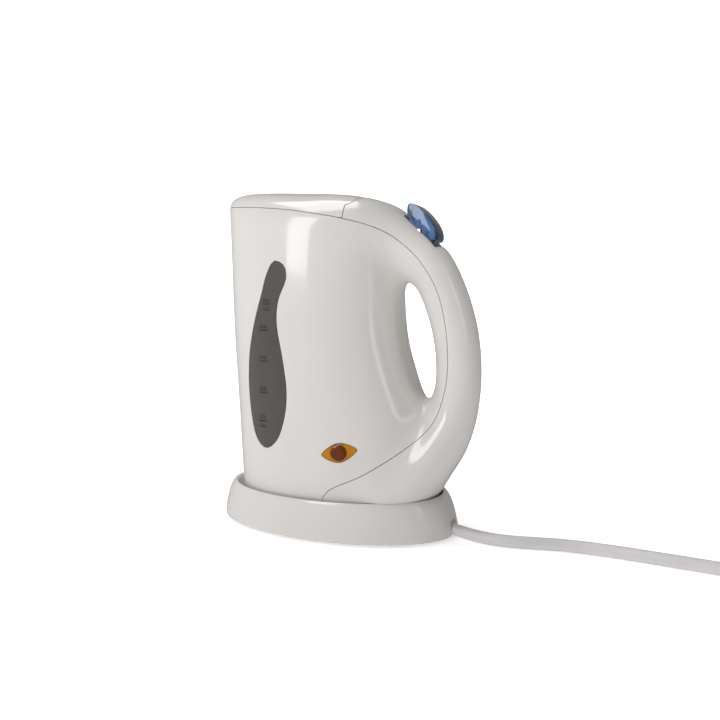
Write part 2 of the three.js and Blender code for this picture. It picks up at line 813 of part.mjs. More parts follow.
function plugBody() {
  const profile = [
    [0, 0],
    [5, 0],
    [6.4, 8],
    [8, 16],
    [14.5, 22],
    [18.2, 27],
    [18.4, 36],
    [0, 36],
  ];
  const points = profile.map((p) => new THREE.Vector2(p[0], p[1]));
  const geometry = new THREE.LatheGeometry(points, 24);
  geometry.rotateZ(-Math.PI / 2);
  geometry.translate(...PLUG);
  const grip = box(PLUG[0] + 8, PLUG[0] + 25, PLUG[1] - 5, PLUG[1] + 5, PLUG[2] - 11, PLUG[2] + 11);
  let body = solid(geometry).add(grip);
  for (const y of [PLUG[1] - 9.5, PLUG[1] + 9.5]) {
    body = body.subtract(rod([PLUG[0] + 30, y, PLUG[2]], [PLUG[0] + 40, y, PLUG[2]], 2.7, 12));
  }
  return body;
}

function plugPin(side) {
  const y = PLUG[1] + side;
  return rod([PLUG[0] + 30.3, y, PLUG[2]], [PLUG[0] + 55, y, PLUG[2]], 2.4, 12);
}

// ---- assembly ----
const WHITE = "#efece6";
const STEEL = "#b9bcc0";
const BRASS = "#c9a24c";
const CLEAN = 0.04;
const SHELL_CLEAN = 0.05;
const ROCKER_SLOT = [
  [40.8, 164],
  [41.4, 190],
  [66, 190],
  [60.4, 157],
  [55, 155],
];

add("base_cover", baseCover().simplify(CLEAN), WHITE, 0.3);
add("base_bottom_plate", basePlate().simplify(CLEAN), "#e4e1da", 0.5);
FEET.forEach(([x, y], i) => {
  const foot = rod([x, y, 0], [x, y, 2.1], FOOT_RADIUS, 16);
  add("base_foot_" + (i + 1), foot, "#c9c7c2", 0.8);
});
BASE_SCREWS.forEach(([x, y], i) => add("base_screw_" + (i + 1), screw(x, y, 1.7, 8.6), STEEL, 0.35, 1));
add("base_socket", socket(), "#3b3d40", 0.5);
CONTACTS.forEach((y, i) => {
  const strip = box(SOCKET_X - 3, SOCKET_X + 3, y + 0.9, y + 1.3, 17.7, 25.5);
  add("socket_contact_" + (i + 1), strip, BRASS, 0.3, 1);
});
const clamp = box(46, 53, -9, 9, 3.7, 13.2).subtract(rod([40, 0, 7.6], [60, 0, 7.4], 3.6, 16));
add("cord_clamp", clamp, "#d8d5ce", 0.5);

add("body_shell", bodyShell().simplify(SHELL_CLEAN), WHITE, 0.25);
const wall = outer.subtract(inner);
add("window_left", wall.intersect(windowPrism(GAP, -SIDE, -20)).simplify(CLEAN), "#8d8f8e", 0.2);
add("window_right", wall.intersect(windowPrism(GAP, 20, SIDE)).simplify(CLEAN), "#8d8f8e", 0.2);
add("handle_cover", handleCover().simplify(CLEAN), WHITE, 0.25);
add("kettle_bottom_cover", bottomCover().simplify(CLEAN), "#dedbd4", 0.5);
PILLARS.forEach(([x, y], i) => add("bottom_screw_" + (i + 1), screw(x, y, 16.5, 5), STEEL, 0.35, 1));
const lens = wall.intersect(lensPrism(GAP, -SIDE, -20));
add("pilot_lens", lens.simplify(CLEAN), "#e39a1c", 0.15);
add("pilot_lamp", rod([16.8, -30, 48.7], [16.8, -20, 48.7], 3, 16), "#f0d8c0", 0.2);
add("element_tube", elementTube(), STEEL, 0.3, 1);
add("element_flange", elementFlange(), STEEL, 0.35, 1);
add("element_gasket", elementGasket(), "#2f3032", 0.8);
add("controller", controller(), "#35373a", 0.5);
CONTACTS.forEach((y, i) => {
  const pin = box(SOCKET_X - 2.6, SOCKET_X + 2.6, y - 0.6, y + 0.6, 17.8, 28.1);
  add("connector_pin_" + (i + 1), pin, BRASS, 0.3, 1);
});
add("filter_frame", filterFrame(), "#e8e6e0", 0.4);
add("filter_mesh", filterMesh(), STEEL, 0.35, 1);
add("steam_disc", rod([28.8, 0, 171.2], [28.8, 0, 171.8], 6.2, 24), STEEL, 0.3, 1);
const LEVER = [
  [22.3, 172.2],
  [35, 171.8],
  [44, 166.4],
  [45, 167.4],
  [35.6, 173],
  [22.3, 173.4],
];
add("trip_lever", prismY(LEVER, -3, 3), "#d8d5ce", 0.5);
add("switch_block", box(43, 52, -5.5, 5.5, 150.5, 158), "#35373a", 0.5);
[-3, 3].forEach((y, i) => {
  const run = [
    [48, y, 149.4],
    [51, y, 147.6],
    [57, y, 141],
    [64, y, 124],
    [68.5, y, 104],
    [69, y, 84],
    [65, y, 62],
    [55, y, 47],
    [46, y, 39.4],
    [45.6, y, 37.3],
  ];
  add("switch_wire_" + (i + 1), tube(run, 1, 6, 18), i ? "#3568a8" : "#7a4a2a", 0.6);
});
add("switch_pin", rod([ROCKER_X, -8.8, ROCKER_Z], [ROCKER_X, 8.8, ROCKER_Z], 1.1, 16), STEEL, 0.3, 1);

add("lid_cover", lidCover().simplify(CLEAN), WHITE, 0.25);
add("lid_liner", lidLiner().simplify(CLEAN), "#e8e6e0", 0.4);
add("hinge_pin", rod([HINGE_X, -10.7, HINGE_Z], [HINGE_X, 10.7, HINGE_Z], 1.2, 16), STEEL, 0.3, 1);
add("switch_rocker", rocker(), "#4c86c6", 0.15);

add("cord_lead", tube(CORD_ROUTE, CORD_RADIUS, 8, 32), "#eceae6", 0.5);
add("cord_coil", cordCoil(), "#eceae6", 0.5);
add("cord_tail", tube(TAIL_ROUTE, CORD_RADIUS, 8, 8), "#eceae6", 0.5);
add("plug_body", plugBody(), "#eceae6", 0.45);
add("plug_pin_1", plugPin(-9.5), STEEL, 0.25, 1);
add("plug_pin_2", plugPin(9.5), STEEL, 0.25, 1);
export default group;
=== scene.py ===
"""Electric kettle on its power base: the visual model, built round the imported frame.

Everything is in metres in the row frame. The moulded skins come from the same formulas as the solids,
on a finer grid, and are cut at the same seams.
"""

import json
import math

import bmesh
import bpy
import numpy as np
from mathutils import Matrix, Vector

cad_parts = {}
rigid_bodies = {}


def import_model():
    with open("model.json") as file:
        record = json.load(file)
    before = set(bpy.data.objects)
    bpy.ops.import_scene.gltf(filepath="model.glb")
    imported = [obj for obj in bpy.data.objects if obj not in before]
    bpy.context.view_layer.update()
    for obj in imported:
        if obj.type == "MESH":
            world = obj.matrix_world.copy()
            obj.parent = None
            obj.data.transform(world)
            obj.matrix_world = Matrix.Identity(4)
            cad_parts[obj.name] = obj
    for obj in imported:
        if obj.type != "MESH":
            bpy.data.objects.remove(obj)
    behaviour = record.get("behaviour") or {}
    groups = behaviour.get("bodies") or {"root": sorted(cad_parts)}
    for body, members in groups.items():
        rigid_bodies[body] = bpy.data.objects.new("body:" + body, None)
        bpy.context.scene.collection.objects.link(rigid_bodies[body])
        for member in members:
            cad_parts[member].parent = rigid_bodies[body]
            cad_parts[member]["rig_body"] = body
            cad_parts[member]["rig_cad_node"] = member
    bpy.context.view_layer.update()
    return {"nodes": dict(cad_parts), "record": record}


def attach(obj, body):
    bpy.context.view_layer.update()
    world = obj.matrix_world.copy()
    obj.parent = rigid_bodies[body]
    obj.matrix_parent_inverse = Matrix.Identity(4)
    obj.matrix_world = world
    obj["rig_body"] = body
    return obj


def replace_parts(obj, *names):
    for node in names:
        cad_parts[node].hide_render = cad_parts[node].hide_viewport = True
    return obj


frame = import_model()

MM = 0.001
SHIFT = -2.7
WALL = 2.4
GAP = 0.3
KETTLE_BOTTOM = 16.0
VESSEL_FLOOR = 24.0
TRAY_FLOOR = 15.6
RIM_TOP = 22.6
BASE_EDGE = 1.5
BASE_X = -3.4
BLEND = 17.0
CROWN_BLEND = 14.0
GRIP_BLEND = 6.0
CROWN_RADIUS = 72.0
SUPER = 2.12
CUT_LEVEL = 11.0
HINGE_X = 15.5
HINGE_Z = 182.5
BARREL = 3.4
LID_HEEL = 10.75
EAR_IN = 8.0
EAR_OUT = 12.0
ROCKER_X = 50.0
ROCKER_Z = 165.4
ROCKER_HALF = 7.5
DRY_X = 4.0
DRY_TOP = 57.0
MOUTH_REAR = 12.6
SEAM_TOP = 205.0
SIDE = 60.0
HANDLE_DEPTH = 12.0
WINDOW_GROW = 1.0
CORD_RADIUS = 3.2
COIL_X = 248.0
COIL_Y = 36.0
COIL_RADIUS = 38.0
COIL_LAYER = 6.9
VIEW_AZIMUTH = math.radians(27.0)

VESSEL = [
    (10, -61.6, 54, 38.2),
    (25, -62.4, 54.4, 39),
    (45, -63.2, 53, 40),
    (65, -64.2, 52, 40.3),
    (85, -65.2, 45, 40.4),
    (105, -66.2, 39, 40.3),
    (125, -67.1, 36.6, 39.9),
    (160, -68.6, 36, 38.6),
    (180, -69.4, 36, 37),
    (200, -70.2, 37, 35.5),
]
CROWN = [
    (-90, 186.5),
    (-74, 190),
    (-52, 192.2),
    (-14, 189.8),
    (12, 187),
    (30, 182),
    (44, 174),
    (60, 160),
]
HANDLE = [
    (-6, 164, 22),
    (14, 167, 20),
    (31, 166, 16.5),
    (46, 156.5, 14.5),
    (56, 144, 13.6),
    (63, 129, 13.2),
    (67.8, 113, 13),
    (70, 97, 13),
    (69.8, 80, 13.4),
    (66.8, 63, 16),
    (60, 47, 22),
    (50, 35, 26),
    (38, 27.5, 28),
]
SEAM = [
    (-92, 187),
    (-67, 183.6),
    (-34, 179.6),
    (-13.4, 176.9),
    (2.6, 174),
    (15.3, 171.4),
    (28.5, 167.6),
    (37.5, 163),
    (51.4, 150.6),
    (60.3, 137.2),
    (64.8, 124.8),
    (67.6, 108),
    (67.9, 89.8),
    (65.6, 76.7),
    (60, 62.5),
    (48, 50.4),
    (29, 37),
    (14, 29.8),
    (8.6, 26),
    (7.2, 20),
    (7.2, 8),
]
WINDOW = [
    (-20.6, 149),
    (-15.2, 146.2),
    (-14.2, 140.6),
    (-18.9, 129),
    (-20, 117),
    (-16.2, 97),
    (-13.9, 80),
    (-15.4, 66),
    (-21, 53),
    (-28.4, 48.5),
    (-35, 53),
    (-39, 65),
    (-40.4, 81),
    (-39, 98),
    (-35, 114),
    (-28.4, 133),
    (-25, 143),
]
ROCKER = [
    (44.4, 171.4),
    (43, 176),
    (43.6, 179.8),
    (45.6, 180.4),
    (50, 177.4),
    (54, 173.2),
    (57, 168.8),
    (58.6, 164.6),
    (58.2, 160.8),
    (56, 160),
    (53.4, 162.2),
    (50, 165.2),
    (46.8, 168.8),
]
ROCKER_SLOT = [(40.8, 164), (41.4, 190), (66, 190), (60.4, 157), (55, 155)]
LENS = [
    (7.6, 47.2),
    (11, 51),
    (16.6, 53.9),
    (22.4, 53.2),
    (26.4, 50.7),
    (23, 46.4),
    (17.4, 43.5),
    (11.6, 44.4),
]
CORD_ROUTE = [
    (44.5, 0, 7.6),
    (55, 0, 7.4),
    (63, -0.4, 5.8),
    (71, -1.6, 4.2),
    (84, -4.6, 3.4),
    (97, -5.4, 3.3),
    (110, -2.4, 3.3),
    (124, 1.6, 3.3),
    (142, 3.2, 3.3),
    (170, 1.8, 3.3),
    (198, -0.6, 3.3),
    (221.5, -2, 3.4),
]
CORD_TAIL = [(262, -8.7, 10.4), (275, -6.6, 11.8), (287, -3.4, 15.4), (299.4, -2, 18.6)]
PLUG = (299, -2, 18.6)
FEET = [(42, 19), (42, -19), (-44, 19), (-44, -19)]
FOOT_RADIUS = 8.5
# Litres, height, and the middle of each line on the window.
MARKS = [
    ("0.6L", 126.8, -26.0),
    ("0.5L", 112.6, -28.0),
    ("0.4L", 95.7, -28.4),
    ("0.3L", 78.5, -29.0),
    ("0.2L", 62.5, -30.0),
]
MARK_HALF = 2.9
BASE_SCREWS = [(-52, 0), (18, 27), (18, -27)]


# ---- camera: at the level of the middle of the body, from the lamp side, turned towards the handle ----
def make_camera():
    distance, height = 0.4035, 0.12306
    data = bpy.data.cameras.new("camera")
    data.sensor_width = 36.0
    data.lens = 34.93
    data.clip_start = 0.01
    camera = bpy.data.objects.new("camera", data)
    camera.location = (
        math.sin(VIEW_AZIMUTH) * distance + SHIFT * MM,
        -math.cos(VIEW_AZIMUTH) * distance,
        height,
    )
    camera.rotation_euler = (math.radians(90 - 4.02), 0, math.radians(27.0 - 1.473))
    bpy.context.collection.objects.link(camera)
    bpy.context.scene.camera = camera


make_camera()


# ---- formulas ----
def through(table, t, column):
    """Smooth curve through the rows of a table, at every value of the array t."""
    rows = np.array(table, float)
    x = rows[:, 0]
    v = rows[:, column]
    i = np.clip(np.searchsorted(x, t, side="left") - 1, 0, len(x) - 2)
    before = np.maximum(i - 1, 0)
    after = np.minimum(i + 2, len(x) - 1)
    length = x[i + 1] - x[i]
    u = np.clip((t - x[i]) / length, 0, 1)
    slope_a = (v[i + 1] - v[before]) / (x[i + 1] - x[before]) * length
    slope_b = (v[after] - v[i]) / (x[after] - x[i]) * length
    u2, u3 = u * u, u * u * u
    return (
        (2 * u3 - 3 * u2 + 1) * v[i]
        + (u3 - 2 * u2 + u) * slope_a
        + (3 * u2 - 2 * u3) * v[i + 1]
        + (u3 - u2) * slope_b
    )


def smooth_step(a, b, t):
    u = np.clip((t - a) / (b - a), 0, 1)
    return u * u * (3 - 2 * u)


def smooth_min(a, b, k):
    h = np.clip(0.5 + 0.5 * (b - a) / k, 0, 1)
    return b + (a - b) * h - k * h * (1 - h)


def smooth_max(a, b, k):
    return -smooth_min(-a, -b, k)


def catmull(points, count, closed=False):
    """Centripetal Catmull-Rom curve through points, count spans evenly along its length."""
    p = [np.array(q, float) for q in points]
    n = len(p)
    if closed:
        get = lambda i: p[i % n]
        spans = n
    else:
        first = p[0] * 2 - p[1]
        last = p[-1] * 2 - p[-2]
        get = lambda i: first if i < 0 else last if i >= n else p[i]
        spans = n - 1
    fine = []
    for s in range(spans):
        p0, p1, p2, p3 = get(s - 1), get(s), get(s + 1), get(s + 2)
        d0, d1, d2 = [max(np.linalg.norm(b - a), 1e-6) ** 0.5 for a, b in ((p0, p1), (p1, p2), (p2, p3))]
        m1 = ((p1 - p0) / d0 - (p2 - p0) / (d0 + d1) + (p2 - p1) / d1) * d1
        m2 = ((p2 - p1) / d1 - (p3 - p1) / (d1 + d2) + (p3 - p2) / d2) * d1
        for k in range(24):
            u = k / 24
            fine.append(
                (2 * u**3 - 3 * u**2 + 1) * p1
                + (u**3 - 2 * u**2 + u) * m1
                + (3 * u**2 - 2 * u**3) * p2
                + (u**3 - u**2) * m2
            )
    fine.append(get(0) if closed else p[-1])
    fine = np.array(fine)
    run = np.concatenate([[0], np.cumsum(np.linalg.norm(np.diff(fine, axis=0), axis=1))])
    at = np.linspace(0, run[-1], count + 1)
    if closed:
        at = at[:-1]
    return np.stack([np.interp(at, run, fine[:, c]) for c in range(fine.shape[1])], 1)


LINE = catmull(HANDLE, 600)
LINE_STEP = np.linalg.norm(np.diff(LINE[:, :2], axis=0), axis=1).mean()
TANGENT = np.gradient(LINE[:, :2], axis=0)
TANGENT /= np.linalg.norm(TANGENT, axis=1)[:, None]


def nearest_table():
    """The nearest row of LINE for every place of a coarse grid over the side view."""
    x, z = np.meshgrid(np.arange(-92.0, 99.0, 1.5), np.arange(0.0, 210.0, 1.5), indexing="ij")
    best = np.full(x.shape, 1e9)
    row = np.zeros(x.shape)
    for i in range(0, len(LINE), 3):
        r = (x - LINE[i, 0]) ** 2 + (z - LINE[i, 1]) ** 2
        row[r < best] = i
        best = np.minimum(best, r)
    return row


NEAREST = nearest_table()


def along(table, at):
    i = np.clip(at.astype(int), 0, len(table) - 2)
    t = at - i
    return table[i] * (1 - t) + table[i + 1] * t


LINE_X, LINE_Z, LINE_W = [np.ascontiguousarray(LINE[:, c]) for c in range(3)]
TANGENT_X, TANGENT_Z = [np.ascontiguousarray(TANGENT[:, c]) for c in range(2)]


def handle_distance(x, y, z):
    """An oval tube round LINE: the nearest place on the curve is found by walking along it."""
    i = np.clip(((x + 92) / 1.5 + 0.5).astype(int), 0, NEAREST.shape[0] - 1)
    k = np.clip((z / 1.5 + 0.5).astype(int), 0, NEAREST.shape[1] - 1)
    at = NEAREST[i, k]
    for _ in range(6):
        miss = (x - along(LINE_X, at)) * along(TANGENT_X, at) + (z - along(LINE_Z, at)) * along(TANGENT_Z, at)
        at = np.clip(at + miss / LINE_STEP, 0, len(LINE) - 1)
    u = np.hypot(x - along(LINE_X, at), z - along(LINE_Z, at)) / HANDLE_DEPTH
    half = along(LINE_W, at)
    v = np.abs(y) / half
    rho = np.hypot(u, v) + 1e-9
    return (rho - 1) / np.hypot(u / rho / HANDLE_DEPTH, v / rho / half)


def vessel_distance(x, y, z):
    front = through(VESSEL, z, 1)
    rear = through(VESSEL, z, 2)
    b = through(VESSEL, z, 3)
    a = (rear - front) / 2
    u = np.abs(x - (rear + front) / 2) / a
    v = np.abs(y) / b
    rho = (u**SUPER + v**SUPER) ** (1 / SUPER) + 1e-9
    gu = (u / rho) ** (SUPER - 1) / a
    gv = (v / rho) ** (SUPER - 1) / b
    lip = 3.2 * smooth_step(150, 188, z) * np.exp(-((y / 13) ** 2)) * smooth_step(30, 60, -x)
    return (rho - 1) / np.hypot(gu, gv) - lip


def crown_distance(x, y, z):
    return z - through(CROWN, x, 1) + y * y / (2 * CROWN_RADIUS)


def shoulder(x):
    return GRIP_BLEND + (CROWN_BLEND - GRIP_BLEND) * smooth_step(-74, -50, x) * (1 - smooth_step(5, 30, x))


def crowned(sides, x, y, z):
    return np.maximum(smooth_max(sides, crown_distance(x, y, z), shoulder(x)), CUT_LEVEL - z)


def kettle_distance(x, y, z):
    sides = smooth_min(vessel_distance(x, y, z), handle_distance(x, y, z), BLEND)
    return crowned(sides, x, y, z)


def pot_distance(x, y, z):
    return crowned(vessel_distance(x, y, z), x, y, z)


def gradient(distance, p, e=0.02):
    g = np.empty_like(p)
    for c in range(3):
        hi, lo = p.copy(), p.copy()
        hi[:, c] += e
        lo[:, c] -= e
        g[:, c] = (distance(*hi.T) - distance(*lo.T)) / (2 * e)
    return g


def skin(distance, step, level=0.0):
    """Vertices and quads of the surface where distance is -level, in millimetres."""
    low = np.array([-90.0, -52.0, 4.0])
    count = np.ceil((np.array([96.0, 52.0, 204.0]) - low) / step).astype(int) + 1
    axes = [low[c] + step * np.arange(count[c]) for c in range(3)]
    x, y, z = np.meshgrid(*axes, indexing="ij")
    flat_x, flat_z = x[:, 0, :], z[:, 0, :]
    value = np.empty(x.shape)
    for j in range(count[1]):
        value[:, j, :] = distance(flat_x, np.full(flat_x.shape, axes[1][j]), flat_z)
    value += level
    inside = value < 0
    cells = tuple(c - 1 for c in count)
    number = np.full(cells, -1)
    total = np.zeros(cells, int)
    for i in (0, 1):
        for j in (0, 1):
            for k in (0, 1):
                total += inside[i : i + cells[0], j : j + cells[1], k : k + cells[2]]
    mixed = (total > 0) & (total < 8)
    number[mixed] = np.arange(mixed.sum())
    where = np.zeros((mixed.sum(), 3))
    hits = np.zeros(mixed.sum())
    quads = []
    for axis in range(3):
        a = np.take(value, range(count[axis] - 1), axis)
        b = np.take(value, range(1, count[axis]), axis)
        cross = np.argwhere((a < 0) != (b < 0))
        va = a[tuple(cross.T)]
        vb = b[tuple(cross.T)]
        place = low + step * cross
        place[:, axis] += step * va / (va - vb)
        e1, e2 = np.eye(3, dtype=int)[(axis + 1) % 3], np.eye(3, dtype=int)[(axis + 2) % 3]
        ring = [cross, cross - e1, cross - e1 - e2, cross - e2]
        ids = np.stack([number[tuple(r.T)] for r in ring], 1)
        for c in range(4):
            np.add.at(where, ids[:, c], place)
            np.add.at(hits, ids[:, c], 1)
        ids[va >= 0] = ids[va >= 0][:, ::-1]
        quads.append(ids)
    where /= hits[:, None]
    for _ in range(3):
        d = distance(*where.T) + level
        g = gradient(distance, where)
        move = np.clip(d / ((g**2).sum(1) + 1e-6), -step / 3, step / 3)
        where -= g * move[:, None]
    return where, np.concatenate(quads)


# ---- meshes and booleans ----
def make(name, verts, faces):
    """A mesh object from millimetre points in the part's own axes."""
    mesh = bpy.data.meshes.new(name)
    points = (np.array(verts, float) + (SHIFT, 0, 0)) * MM
    mesh.from_pydata([tuple(p) for p in points], [], [tuple(int(i) for i in f) for f in faces])
    mesh.validate()
    mesh.update()
    obj = bpy.data.objects.new(name, mesh)
    bpy.context.collection.objects.link(obj)
    return obj


def drop(*objs):
    for obj in objs:
        data = obj.data
        bpy.data.objects.remove(obj)
        if isinstance(data, bpy.types.Mesh):
            bpy.data.meshes.remove(data)


def fix(obj):
    """Applies the modifiers of an object to its mesh."""
    graph = bpy.context.evaluated_depsgraph_get()
    new = bpy.data.meshes.new_from_object(obj.evaluated_get(graph))
    old = obj.data
    obj.modifiers.clear()
    obj.data = new
    bpy.data.meshes.remove(old)
    obj.data.name = obj.name
    return obj


def carve(obj, *steps):
    """Cuts, joins or keeps what is common with other solids, in order."""
    for kind, tool in steps:
        mod = obj.modifiers.new(kind, "BOOLEAN")
        mod.operation = kind
        mod.solver = "MANIFOLD"
        mod.object = tool
    return fix(obj)


def copy(obj, name):
    new = obj.copy()
    new.data = obj.data.copy()
    new.name = name
    bpy.context.collection.objects.link(new)
    return new


def prism(outline, low, high, name="prism"):
    """Closed prism along Y over an [x, z] outline."""
    area = sum(a[0] * b[1] - b[0] * a[1] for a, b in zip(outline, list(outline[1:]) + [outline[0]]))
    pts = [tuple(p) for p in (outline if area > 0 else outline[::-1])]
    n = len(pts)
    verts = [(p[0], low, p[1]) for p in pts] + [(p[0], high, p[1]) for p in pts]
    faces = [tuple(range(n)), tuple(range(2 * n - 1, n - 1, -1))]
    faces += [(i, i + n, (i + 1) % n + n, (i + 1) % n) for i in range(n)]
    return make(name, verts, faces)


def block(x0, x1, y0, y1, z0, z1, name="block"):
    return prism([(x0, z0), (x1, z0), (x1, z1), (x0, z1)], y0, y1, name)


def rod(a, b, radius, sides=48, name="rod"):
    a, b = Vector(a), Vector(b)
    axis = (b - a).normalized()
    u = axis.orthogonal().normalized()
    v = axis.cross(u)
    verts = []
    for end in (a, b):
        for i in range(sides):
            t = 2 * math.pi * i / sides
            verts.append(tuple(end + radius * (math.cos(t) * u + math.sin(t) * v)))
    faces = [tuple(range(sides - 1, -1, -1)), tuple(range(sides, 2 * sides))]
    faces += [(i, (i + 1) % sides, (i + 1) % sides + sides, i + sides) for i in range(sides)]
    return make(name, verts, faces)


def lathe(profile, a, axis, sides=64, name="lathe"):
    """Turned body: profile rows are radius and distance along axis from a, both ends on the axis."""
    a, axis = Vector(a), Vector(axis).normalized()
    u = axis.orthogonal().normalized()
    v = axis.cross(u)
    verts, faces = [], []
    rows = []
    for r, d in profile:
        if r < 1e-6:
            rows.append([len(verts)])
            verts.append(tuple(a + d * axis))
            continue
        rows.append(list(range(len(verts), len(verts) + sides)))
        for i in range(sides):
            t = 2 * math.pi * i / sides
            verts.append(tuple(a + d * axis + r * (math.cos(t) * u + math.sin(t) * v)))
    for p, q in zip(rows[:-1], rows[1:]):
        for i in range(sides):
            j = (i + 1) % sides
            if len(p) == 1:
                faces.append((p[0], q[j], q[i]))
            elif len(q) == 1:
                faces.append((p[i], p[j], q[0]))
            else:
                faces.append((p[i], p[j], q[j], q[i]))
    obj = make(name, verts, faces)
    outward(obj)
    return obj


def outward(obj):
    bm = bmesh.new()
    bm.from_mesh(obj.data)
    bmesh.ops.recalc_face_normals(bm, faces=bm.faces)
    bm.to_mesh(obj.data)
    bm.free()


def loft(rings, sides=160, power=2.06, name="loft"):
    """Closed body through superelliptic rings: centre x, half length, half width, height."""
    verts = []
    for cx, a, b, z in rings:
        for i in range(sides):
            t = 2 * math.pi * i / sides
            c, s = math.cos(t), math.sin(t)
            reach = (abs(c) ** power + abs(s) ** power) ** (-1 / power)
            verts.append((cx + a * c * reach, b * s * reach, z))
    n = len(rings)
    faces = [tuple(range(sides - 1, -1, -1)), tuple(range((n - 1) * sides, n * sides))]
    for r in range(n - 1):
        p, q = r * sides, (r + 1) * sides
        faces += [(p + i, p + (i + 1) % sides, q + (i + 1) % sides, q + i) for i in range(sides)]
    obj = make(name, verts, faces)
    outward(obj)
    return obj


def beside(line, by):
    d = np.gradient(line, axis=0)
    d /= np.linalg.norm(d, axis=1)[:, None]
    return line + by * np.stack([-d[:, 1], d[:, 0]], 1)


def shrink(outline, by):
    """Closed outline moved inwards."""
    d = np.roll(outline, -1, 0) - np.roll(outline, 1, 0)
    d /= np.linalg.norm(d, axis=1)[:, None]
    area = np.sum(outline[:, 0] * np.roll(outline[:, 1], -1) - np.roll(outline[:, 0], -1) * outline[:, 1])
    return outline + np.sign(area) * by * np.stack([-d[:, 1], d[:, 0]], 1)


def shade(obj, fields, angle=32):
    """Smooth shading: exact normals where the mesh lies on one of the skins, by angle elsewhere."""
    mesh = obj.data
    mesh.polygons.foreach_set("use_smooth", [True] * len(mesh.polygons))
    mesh.update()
    mesh.set_sharp_from_angle(angle=math.radians(angle))
    points = np.empty(len(mesh.vertices) * 3)
    mesh.vertices.foreach_get("co", points)
    points = points.reshape(-1, 3) / MM - (SHIFT, 0, 0)
    loop_vertex = np.empty(len(mesh.loops), int)
    mesh.loops.foreach_get("vertex_index", loop_vertex)
    starts = np.empty(len(mesh.polygons), int)
    totals = np.empty(len(mesh.polygons), int)
    mesh.polygons.foreach_get("loop_start", starts)
    mesh.polygons.foreach_get("loop_total", totals)
    face_of = np.repeat(np.arange(len(starts)), totals)
    normal = np.empty(len(mesh.polygons) * 3)
    mesh.polygons.foreach_get("normal", normal)
    normal = normal.reshape(-1, 3)[face_of]
    corner = np.empty(len(mesh.loops) * 3)
    mesh.corner_normals.foreach_get("vector", corner)
    result = corner.reshape(-1, 3).copy()
    for distance, level in fields:
        d = distance(*points.T) + level
        near = np.abs(d) < 0.12
        g = np.zeros_like(points)
        g[near] = gradient(distance, points[near])
        g /= np.linalg.norm(g, axis=1)[:, None] + 1e-12
        here = g[loop_vertex]
        dot = (here * normal).sum(1)
        use = near[loop_vertex] & (np.abs(dot) > 0.93)
        result[use] = here[use] * np.sign(dot[use])[:, None]
    mesh.normals_split_custom_set([tuple(n) for n in result])
    return obj


def smooth(obj, angle=35):
    mesh = obj.data
    mesh.polygons.foreach_set("use_smooth", [True] * len(mesh.polygons))
    mesh.set_sharp_from_angle(angle=math.radians(angle))
    return obj


def soften(obj, width, segments=2, angle=40):
    """Small rounds on the edges of a plain piece."""
    mod = obj.modifiers.new("round", "BEVEL")
    mod.width = width * MM
    mod.segments = segments
    mod.limit_method = "ANGLE"
    mod.angle_limit = math.radians(angle)
    mod.harden_normals = False
    return smooth(fix(obj))


# ---- materials ----
GRAIN_DEPTH = 0.0001


def material(name, colour, roughness, metallic=0.0, **extra):
    mat = bpy.data.materials.new(name)
    mat.use_nodes = True
    nodes = mat.node_tree.nodes
    bsdf = nodes["Principled BSDF"]
    bsdf.inputs["Base Color"].default_value = (*colour, 1)
    bsdf.inputs["Roughness"].default_value = roughness
    bsdf.inputs["Metallic"].default_value = metallic
    for key, value in extra.items():
        bsdf.inputs[key.replace("_", " ")].default_value = value
    return mat, nodes, mat.node_tree.links, bsdf


def vary(nodes, links, bsdf, colour, spread, rough, rough_spread, scale, bump, bump_scale):
    """Faint cloudy colour and roughness, and a fine moulded grain."""
    where = nodes.new("ShaderNodeTexCoord")
    cloud = nodes.new("ShaderNodeTexNoise")
    cloud.inputs["Scale"].default_value = scale
    cloud.inputs["Detail"].default_value = 4
    links.new(where.outputs["Object"], cloud.inputs["Vector"])
    ramp = nodes.new("ShaderNodeValToRGB")
    ramp.color_ramp.elements[0].position = 0.3
    ramp.color_ramp.elements[1].position = 0.7
    ramp.color_ramp.elements[0].color = (*[c * (1 - spread) for c in colour], 1)
    ramp.color_ramp.elements[1].color = (*[min(c * (1 + spread), 1) for c in colour], 1)
    links.new(cloud.outputs["Fac"], ramp.inputs["Fac"])
    links.new(ramp.outputs["Color"], bsdf.inputs["Base Color"])
    smear = nodes.new("ShaderNodeTexNoise")
    smear.inputs["Scale"].default_value = scale * 3.1
    smear.inputs["Detail"].default_value = 6
    links.new(where.outputs["Object"], smear.inputs["Vector"])
    span = nodes.new("ShaderNodeMapRange")
    span.inputs["From Min"].default_value = 0.3
    span.inputs["From Max"].default_value = 0.7
    span.inputs["To Min"].default_value = max(rough - rough_spread, 0.01)
    span.inputs["To Max"].default_value = rough + rough_spread
    links.new(smear.outputs["Fac"], span.inputs["Value"])
    links.new(span.outputs["Result"], bsdf.inputs["Roughness"])
    if bump:
        grain = nodes.new("ShaderNodeTexNoise")
        grain.inputs["Scale"].default_value = bump_scale
        grain.inputs["Detail"].default_value = 3
        links.new(where.outputs["Object"], grain.inputs["Vector"])
        lift = nodes.new("ShaderNodeBump")
        lift.inputs["Strength"].default_value = bump
        lift.inputs["Distance"].default_value = GRAIN_DEPTH
        links.new(grain.outputs["Fac"], lift.inputs["Height"])
        links.new(lift.outputs["Normal"], bsdf.inputs["Normal"])


def plain(
    name, colour, roughness, spread=0.03, rough_spread=0.04, scale=40, bump=0.05, bump_scale=900,
    metallic=0.0, **extra
):
    mat, nodes, links, bsdf = material(name, colour, roughness, metallic, **extra)
    vary(nodes, links, bsdf, colour, spread, roughness, rough_spread, scale, bump, bump_scale)
    return mat


